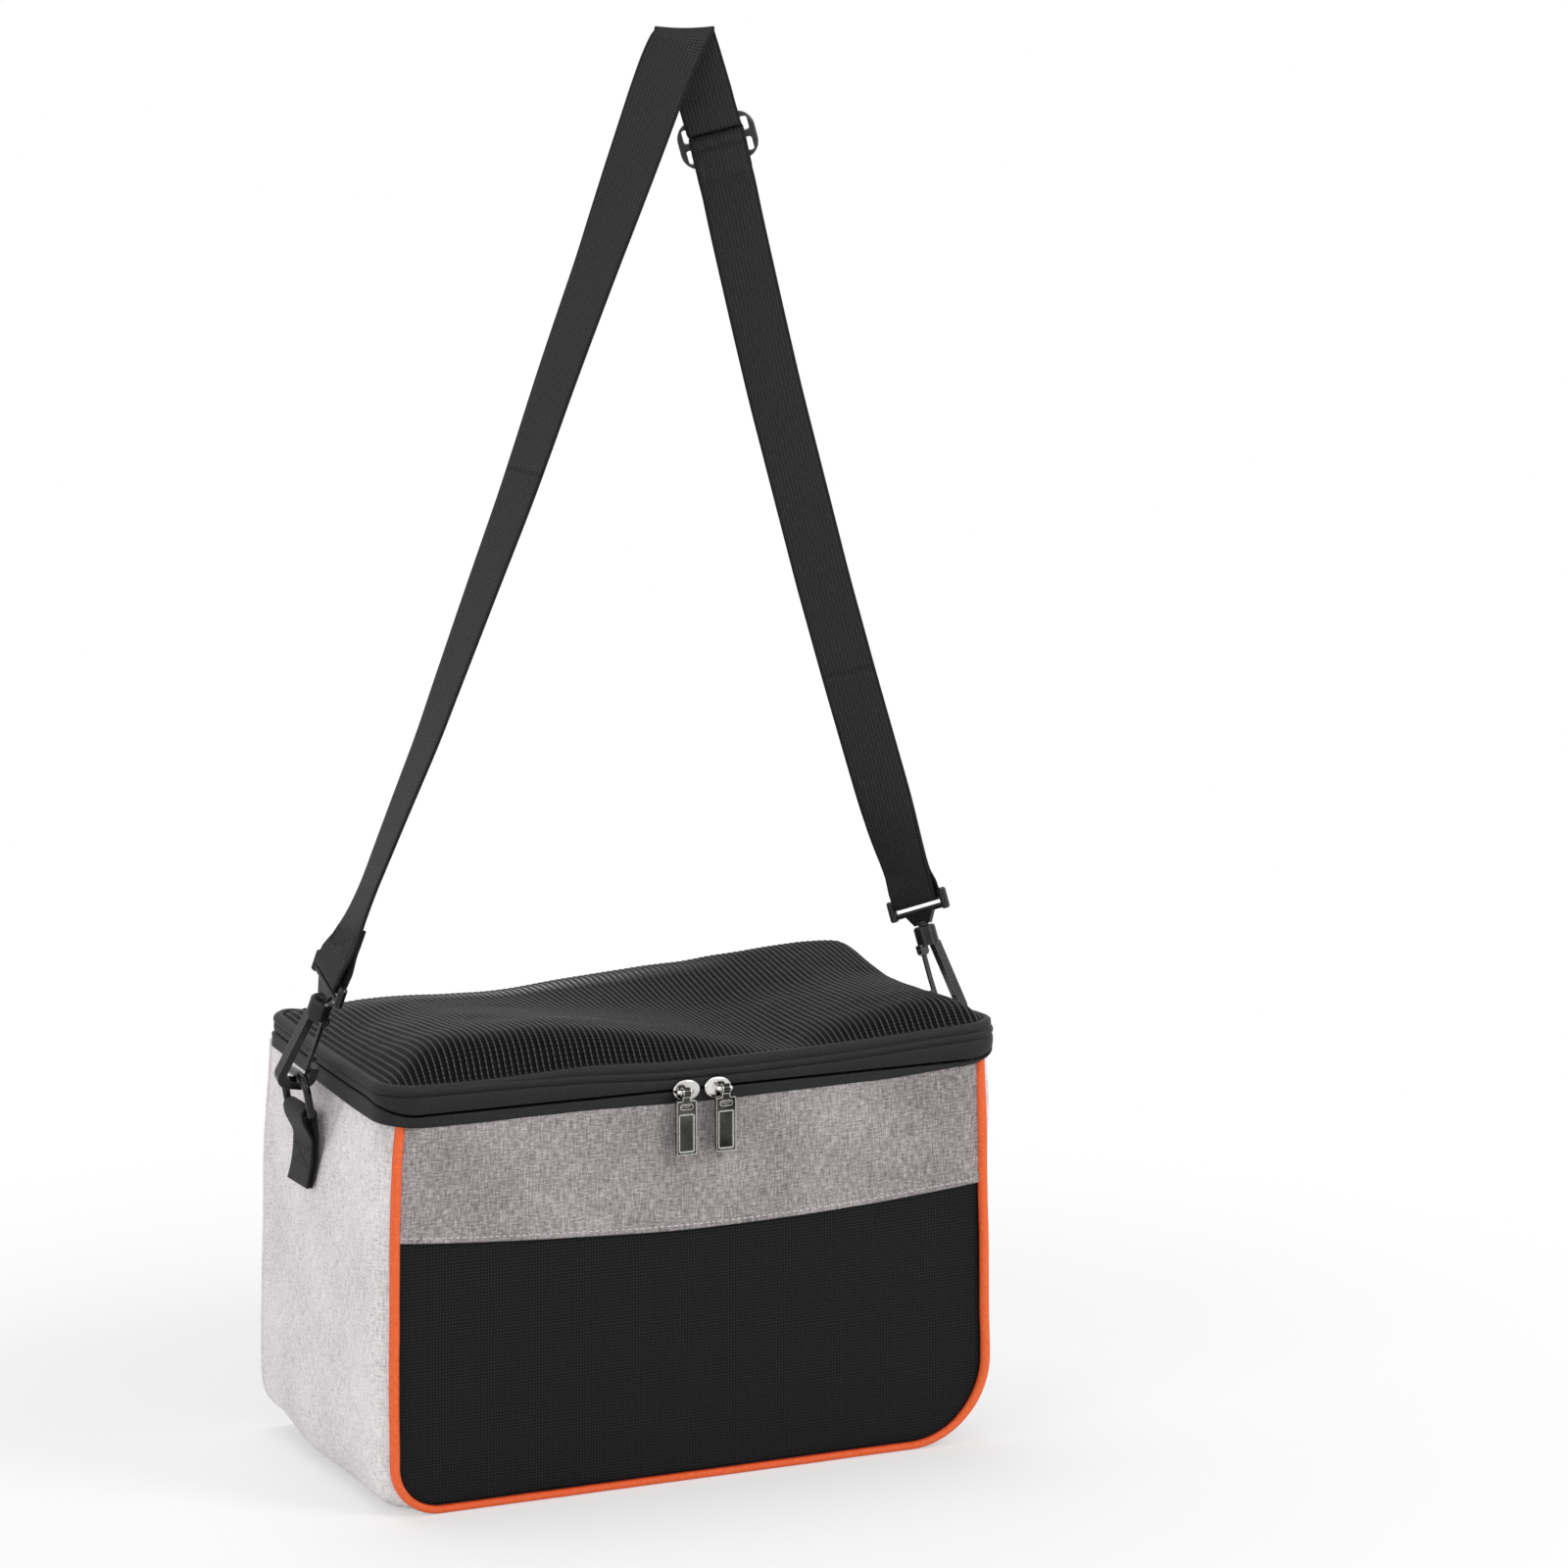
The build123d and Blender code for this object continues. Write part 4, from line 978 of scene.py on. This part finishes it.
def tabPath():
    # up the inner ply, round the ring's bar and down the outer ply: (x out, z, twist)
    base = bag["endFace"] + tab["seat"]
    barX, barZ, loop = tab["barX"], tab["barZ"], tab["loop"]
    spots = []
    for k in range(9):
        t = k / 8
        spots.append((base + tab["flare"] * (1 - t) ** 2, tab["low"] + (tab["top"] - tab["low"]) * t, 1 - t))
    for k in range(1, 8):
        t = k / 8
        spots.append((base + (barX - loop - base) * smooth(t), tab["top"] + (barZ - tab["top"]) * t, 0.0))
    for k in range(17):
        a = math.pi - math.pi * 1.12 * k / 16
        spots.append((barX + loop * math.cos(a), barZ + loop * math.sin(a), 0.0))
    lastX, lastZ = spots[-1][:2]
    outer = base + tab["thickness"] + 0.2
    for k in range(1, 9):
        t = k / 8
        spots.append((lastX + (outer + 0.4 - lastX) * smooth(t), lastZ + (tab["top"] - 2 - lastZ) * t, 0.0))
    for k in range(1, 10):
        t = k / 9
        x = outer + 0.4 + (tab["flare"] - 0.4) * t * t
        spots.append((x, tab["top"] - 2 - (tab["top"] - 2 - tab["low"]) * t, t))
    return spots


def tabStation(side, spot):
    x, z, turn = spot
    angle = math.radians(tab["twist"]) * turn ** 1.5 * side
    across = Vector((math.sin(angle), math.cos(angle), 0))
    return Vector((side * x, tab["centreY"] + tab["drift"] * turn * turn, z)), across


for side, tabName in ((-1, "left"), (1, "right")):
    placed = [tabStation(side, spot) for spot in tabPath()]
    stations = []
    for i, (point, across) in enumerate(placed):
        way = (placed[min(i + 1, len(placed) - 1)][0] - placed[max(i - 1, 0)][0]).normalized()
        stations.append((point, across, across.cross(way).normalized()))
    webTab = ribbon(tabName + "WebTab", stations, tab["width"], tab["thickness"])
    finishPiece(webTab, "bag", webCloth, "black_webbing", tabName + "_tab")
    outerPly = stations[-9:]
    spots = []

    def onTab(share, edge):
        # a place on the outer face: share of the way down, distance from the middle
        low = min(7, int(share * 8))
        mix = share * 8 - low
        centre = outerPly[low][0] * (1 - mix) + outerPly[low + 1][0] * mix
        across = outerPly[low][1]
        down = (outerPly[low + 1][0] - outerPly[low][0]).normalized()
        out = across.cross(down)
        if out.x * side < 0:
            out = -out
        return centre + across * edge + out * (tab["thickness"] / 2 + 0.05), down, out

    half = tab["stitchHalf"]
    for k in range(8):
        for share, station in ((tab["stitchTop"], 0), (tab["stitchLow"], 4)):
            place, down, out = onTab(share, -half + 2 * half * k / 7)
            spots.append((place, outerPly[station][1], out))
        for way in (-1, 1):
            share = tab["stitchTop"] + (tab["stitchLow"] - tab["stitchTop"]) * (k + 0.5) / 8
            place, down, out = onTab(share, way * (-half + 2 * half * (k + 0.5) / 8))
            spots.append((place, (down * 10 + outerPly[2][1] * way * 2 * half).normalized(), out))
    tabStitches = threadRow(tabName + "TabStitches", spots)
    finishPiece(tabStitches, "bag", threadBlack, "black_webbing")
print("tabs sewn")

# Shoulder strap: webbing from the left loop over the fold to the right loop, and back up to the adjuster
strap = dict(
    width=25.0, thickness=1.5, apex=Vector((27.5, -5.0, 639.3)), apexTurn=-25.0, wrap=2.4, barHeight=53.0,
    sewnTail=22.0, leftBow=Vector((-160.0, -4.0, 184.85)), leftLean=Vector((9.2, -20.0, 48.0)),
    leftSway=(
        (0, 0), (0.02, 0.8), (0.05, 2.4), (0.09, 3.4), (0.19, 4.2), (0.245, 4.6), (0.3, 3.9), (0.4, 3.4), (0.5, 3.2),
        (0.56, 2.4), (0.61, 1.5), (0.66, 0.9), (0.755, 0.2), (0.84, -0.8), (0.94, -1.8), (0.975, -1.6), (1, 0),
    ),
    rightBow=Vector((163.0, 3.0, 184.1)), rightLean=Vector((-8.0, 16.0, 49.9)),
    rightSway=(
        (0, 0), (0.02, -0.6), (0.06, -2), (0.16, -2.9), (0.27, -3.8), (0.38, -4.2), (0.485, -3.7), (0.593, -3.2),
        (0.65, -2.4), (0.7, -1.6), (0.745, -0.8), (0.79, 0), (0.83, 1.1), (0.88, 1.7), (0.95, 0.9), (1, 0),
    ),
    leftTurns=((0, -86), (0.03, -86), (0.08, -97), (0.4, -79), (0.75, -60), (1, -25)),
    rightTurns=((0, -60), (0.03, -60), (0.14, -25), (1, -25)),
    settle=0.06, creaseReach=13.0, adjusterDrop=52.0, frameHalf=11.0, barBore=2.22, leftReach=230.0, rightReach=110.0,
    boxHalf=9.5, frameRise=1.5, clear=6,
)
ply = strap["thickness"] / 2


def level(angle):
    return Vector((math.cos(math.radians(angle)), math.sin(math.radians(angle)), 0))


def barOf(bow, lean, turn):
    along = lean.normalized()
    across = level(turn)
    return bow + along * strap["barHeight"], (across - along * across.dot(along)).normalized()


apexAcross = level(strap["apexTurn"])
apexFace = level(strap["apexTurn"] - 90)


class Leg:
    # one side of the strap, measured from its loop's bar (t = 0) to the fold at the top (t = 1)
    def __init__(self, side):
        turns = strap[side + "Turns"]
        self.turns = turns
        self.bar, self.barWay = barOf(strap[side + "Bow"], strap[side + "Lean"], turns[0][1])
        self.top = strap["apex"] + apexFace * (ply + 0.1) * (1 if side == "left" else -1)
        self.length = (self.top - self.bar).length
        self.way = (self.top - self.bar).normalized()
        self.sway = strap[side + "Sway"]

    def station(self, t, out):
        angle = tableAt(self.turns, t, 0.02)
        square = level(angle)
        square = (square - self.way * square.dot(self.way)).normalized()
        blend = smooth(t / strap["settle"])
        across = (self.barWay * (1 - blend) + square * blend).normalized()
        up = (self.way - across * self.way.dot(across)).normalized()
        face = across.cross(up)
        centre = self.bar + (self.top - self.bar) * t + face * out + Vector((tableAt(self.sway, t, 0.02), 0, 0))
        # towards the fold the width leans until it is level
        lean = smooth(1 - (1 - t) * self.length / strap["creaseReach"])
        slant = apexAcross.dot(self.way) / math.sqrt(1 - apexAcross.dot(self.way) ** 2)
        return centre, across + self.way * slant * lean, face

    def at(self, distance):
        return distance / self.length

    def place(self, distance):
        return self.bar + self.way * distance

    def run(self, first, last, count, out):
        # stations from one distance above the bar to another, each with its own offset
        rows = []
        for k in range(count + 1):
            distance = first + (last - first) * k / count
            rows.append(self.station(self.at(distance), out(distance)))
        return rows

    def turn(self, side, first, last, count=14):
        # round the loop's bar from the given side
        up = (self.way - self.barWay * self.way.dot(self.barWay)).normalized()
        face = self.barWay.cross(up)
        rows = []
        for k in range(count + 1):
            a = first + (last - first) * k / count
            out = face * side * math.cos(a) + up * math.sin(a)
            rows.append((self.bar + out * strap["wrap"], self.barWay, out))
        return rows


left, right = Leg("left"), Leg("right")


def nearBar(distance, inside):
    # offset of a ply: round the bar below, against its neighbour above
    return strap["wrap"] + (inside - strap["wrap"]) * smooth((distance - 5) / 9)


def sewWeb(name, stations, *blend):
    # the last value is the body it rides on; with two bodies and two places given, none of them is read and the webbing
    # stays fixed in the scene
    piece = ribbon(name, stations, strap["width"], strap["thickness"])
    for vertex in piece.data.vertices:
        high = smooth((vertex.co.z * 1000 - strap["apex"].z + 4) / 4)
        u = (Vector(vertex.co) * 1000 - strap["apex"]).dot(apexAcross) / (strap["width"] / 2)
        vertex.co.z -= 0.0008 * high * max(0.0, 1 - u * u)
    finishPiece(piece, blend[0] if len(blend) == 1 else None, webCloth, "black_webbing", "shoulder_strap")
    if len(blend) > 1:
        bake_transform(piece)


# left leg: from the fold down its front, round the loop's bar, sewn tail behind
split = strap["leftReach"] + 8
upper = left.run(left.length - 0.2, split - 4, 60, lambda d: ply * (1 - smooth((left.length - d) / 60)))
fold = []
for k in range(9):
    a = math.pi * k / 8
    out = -apexFace * math.cos(a) + Vector((0, 0, 1)) * math.sin(a)
    crease = apexAcross / math.sqrt(1 - apexAcross.dot(left.way) ** 2)
    fold.append((strap["apex"] + Vector((0, 0, -0.3)) + out * (ply + 0.1), crease, out))
sewWeb("leftStrap", fold + upper[1:], "bag")
lower = left.run(split, strap["clear"], 60, lambda d: nearBar(d, ply) - ply * smooth((d - 60) / 90))
lower += left.turn(1, 0.1, -math.pi - 0.1)
lower += [(c, s, -f) for c, s, f in left.run(strap["clear"], strap["sewnTail"], 8, lambda d: -nearBar(d, ply))]
sewWeb("leftStrapEnd", lower, "clip_loop_left", "bag", left.place(strap["clear"]), left.place(strap["leftReach"]))


def stitchBox(name, leg, low, high, out, rider):
    # a sewn box with a cross, on the front of a leg
    half = strap["boxHalf"]
    spots = []
    for k in range(8):
        for distance in (low, high):
            c, s, f = leg.station(leg.at(distance), out)
            spots.append((c + s * (-half + 2 * half * k / 7), s.normalized(), f))
    for k in range(6):
        distance = low + (high - low) * (k + 0.5) / 6
        c, s, f = leg.station(leg.at(distance), out)
        for u in (-half, half):
            spots.append((c + s * u, leg.way, f))
        for way in (-1, 1):
            along = (leg.way * (high - low) + s * 2 * half * way).normalized()
            spots.append((c + s * way * (-half + 2 * half * (k + 0.5) / 6), along, f))
    finishPiece(threadRow(name, spots), rider, threadBlack, "black_webbing")


stitchBox("leftTailStitches", left, 9, strap["sewnTail"] - 3, 2 * ply + 0.75, "clip_loop_left")

# right leg: the running ply passes over the adjuster's top bar, behind its middle bar and down to the loop
frameAt = right.length - strap["adjusterDrop"]
sleeve = strap["barBore"] + ply


def runningOut(d):
    up = d - frameAt
    reaching = smooth((strap["frameHalf"] + 13 - up) / 9)
    dipping = smooth((6.6 - up) / 4.4)
    rising = smooth((-up - 4) / 5)
    leaving = smooth((-up - strap["frameHalf"] - 1) / 9)
    over = (strap["frameRise"] + ply) * (reaching - dipping)
    behind = (sleeve + 2 * ply + 0.2) * (dipping - rising)
    low = (strap["frameRise"] + ply) * (rising - leaving)
    return over - behind + low - ply * leaving - ply * smooth((up - 30) / 20)


def returnOut(d):
    beside = smooth((d - frameAt + strap["frameHalf"] + 13) / 9)
    return (strap["frameRise"] + 3 * ply + 0.1) * beside + ply * (1 - beside) + 0.1


slideLow, slideHigh = strap["rightReach"] + 6, frameAt - strap["frameHalf"] - 2
slide = ("bag", "adjuster", right.place(slideLow), right.place(slideHigh))
sewWeb(
    "rightStrap", right.run(right.length - 0.2, frameAt - 1.0, 70, runningOut),
    "bag", "adjuster", right.top - right.way * 4, right.place(frameAt + strap["frameHalf"] + 8),
)
sewWeb("rightStrapInner", right.run(frameAt - 0.4, slideLow, 90, runningOut), *slide)
outerPly = right.run(slideLow, frameAt - 3.0, 90, returnOut)
up = right.way
c, s, f = right.station(right.at(frameAt), 0.0)
for k in range(15):
    a = -0.55 + (math.pi + 0.9) * k / 14
    out = f * math.cos(a) + up * math.sin(a)
    outerPly.append((c + out * (sleeve + 0.1), s, out))
for k in range(1, 9):
    centre, across, face = right.station(right.at(frameAt - 2 - 1.6 * k), -(sleeve + 0.1) + 0.225 * k)
    outerPly.append((centre, across, -face))
sewWeb("rightStrapOuter", outerPly, *slide)
loopEnd = right.run(slideLow + 4, strap["clear"], 34, lambda d: -nearBar(d, ply))
loopEnd = [(c, s, -f) for c, s, f in loopEnd] + right.turn(-1, 0.1, -math.pi - 0.1)
loopEnd += right.run(strap["clear"], slideLow + 4, 34, lambda d: nearBar(d, ply))
sewWeb(
    "rightStrapEnd", loopEnd, "clip_loop_right", "bag", right.place(strap["clear"]), right.place(strap["rightReach"]),
)
foldOut = strap["frameRise"] + 4 * ply + 0.2
stitchBox("foldStitches", right, frameAt - 17, frameAt - 7, foldOut, "adjuster")
print("strap sewn")

# Studio: pale floor, white surround, soft lamps
studio = dict(floor=6.0, worldLight=0.55, key=24.5, fill=12.5, top=16.0, shadowFrom=0.25, shadowTo=0.62, haze=0.42)
floorMesh = bpy.data.meshes.new("floor")
half = studio["floor"]
floorMesh.from_pydata([(-half, -half, 0), (half, -half, 0), (half, half, 0), (-half, half, 0)], [], [(0, 1, 2, 3)])
floor = bpy.data.objects.new("floor", floorMesh)
bpy.context.scene.collection.objects.link(floor)
paint = newLook("floorPaint")
paint.paint({"Base Color": (0.93, 0.93, 0.93, 1), "Roughness": 0.9, "Specular IOR Level": 0.1})
glow = paint.add("Emission", {"Color": (1, 1, 1, 1), "Strength": 1.0})
far = paint.add("VectorMath")
far.operation = "LENGTH"
paint.feed(far, {0: paint.add("TexCoord").outputs["Object"]})
reach = paint.add("MapRange")
reach.interpolation_type = "SMOOTHSTEP"
paint.feed(reach, {
    "From Min": studio["shadowFrom"], "From Max": studio["shadowTo"], "To Min": studio["haze"],
    "Value": far.outputs["Value"],
})
seen = paint.add("MixShader", {
    "Fac": paint.times(paint.add("LightPath").outputs["Is Camera Ray"], reach.outputs["Result"]),
    1: paint.nodes["Principled BSDF"].outputs["BSDF"], 2: glow.outputs["Emission"],
})
paint.feed(paint.nodes["Material Output"], {"Surface": seen.outputs["Shader"]})
floorMesh.materials.append(paint.holder)

world = bpy.data.worlds.new("studioSurround")
bpy.context.scene.world = world
sky = Look(world)
sky.nodes.clear()
rays = sky.add("LightPath").outputs
plain = sky.add("Background", {"Color": (1, 1, 1, 1), "Strength": studio["worldLight"]})
white = sky.add("Background", {"Color": (1, 1, 1, 1), "Strength": 1.0})
seesWhite = sky.math("MAXIMUM", rays["Is Camera Ray"], rays["Is Transmission Ray"])
seesWhite = sky.math("MAXIMUM", seesWhite, rays["Is Glossy Ray"])
seen = sky.add("MixShader", {"Fac": seesWhite, 1: plain.outputs["Background"], 2: white.outputs["Background"]})
sky.feed(sky.nodes.new("ShaderNodeOutputWorld"), {"Surface": seen.outputs["Shader"]})


def softLamp(name, place, target, size, power):
    light = bpy.data.lights.new(name, "AREA")
    light.shape = "RECTANGLE"
    light.size, light.size_y = size
    light.energy = power
    lamp = bpy.data.objects.new(name, light)
    lamp.location = place
    lamp.rotation_euler = (Vector(target) - Vector(place)).to_track_quat("-Z", "Y").to_euler()
    bpy.context.scene.collection.objects.link(lamp)


softLamp("keyLamp", (1.5, -1.9, 1.7), (0, 0, 0.15), (0.9, 0.9), studio["key"])
softLamp("fillLamp", (-2.2, -1.2, 1.1), (0, 0, 0.15), (1.4, 1.4), studio["fill"])
softLamp("topLamp", (-0.2, 0.5, 2.4), (0, 0, 0.1), (1.6, 1.2), studio["top"])

# Camera at the photograph's angle
view = dict(turn=24.7, rise=9.7, distance=2.4, focal=5435.0, aimX=0.071, aimZ=0.3025)
turn, rise = math.radians(view["turn"]), math.radians(view["rise"])
back = Vector((-math.sin(turn) * math.cos(rise), -math.cos(turn) * math.cos(rise), math.sin(rise)))
right = Vector((math.cos(turn), -math.sin(turn), 0))
cameraData = bpy.data.cameras.new("camera")
cameraData.sensor_width = 36.0
cameraData.sensor_fit = "HORIZONTAL"
cameraData.lens = view["focal"] / 1600 * 36
cameraData.clip_end = 50
camera = bpy.data.objects.new("camera", cameraData)
camera.location = right * view["aimX"] + Vector((0, 0, view["aimZ"])) + back * view["distance"]
camera.rotation_euler = (-back).to_track_quat("-Z", "Y").to_euler()
bpy.context.scene.collection.objects.link(camera)
bpy.context.scene.camera = camera
bpy.context.scene.view_settings.view_transform = "Standard"
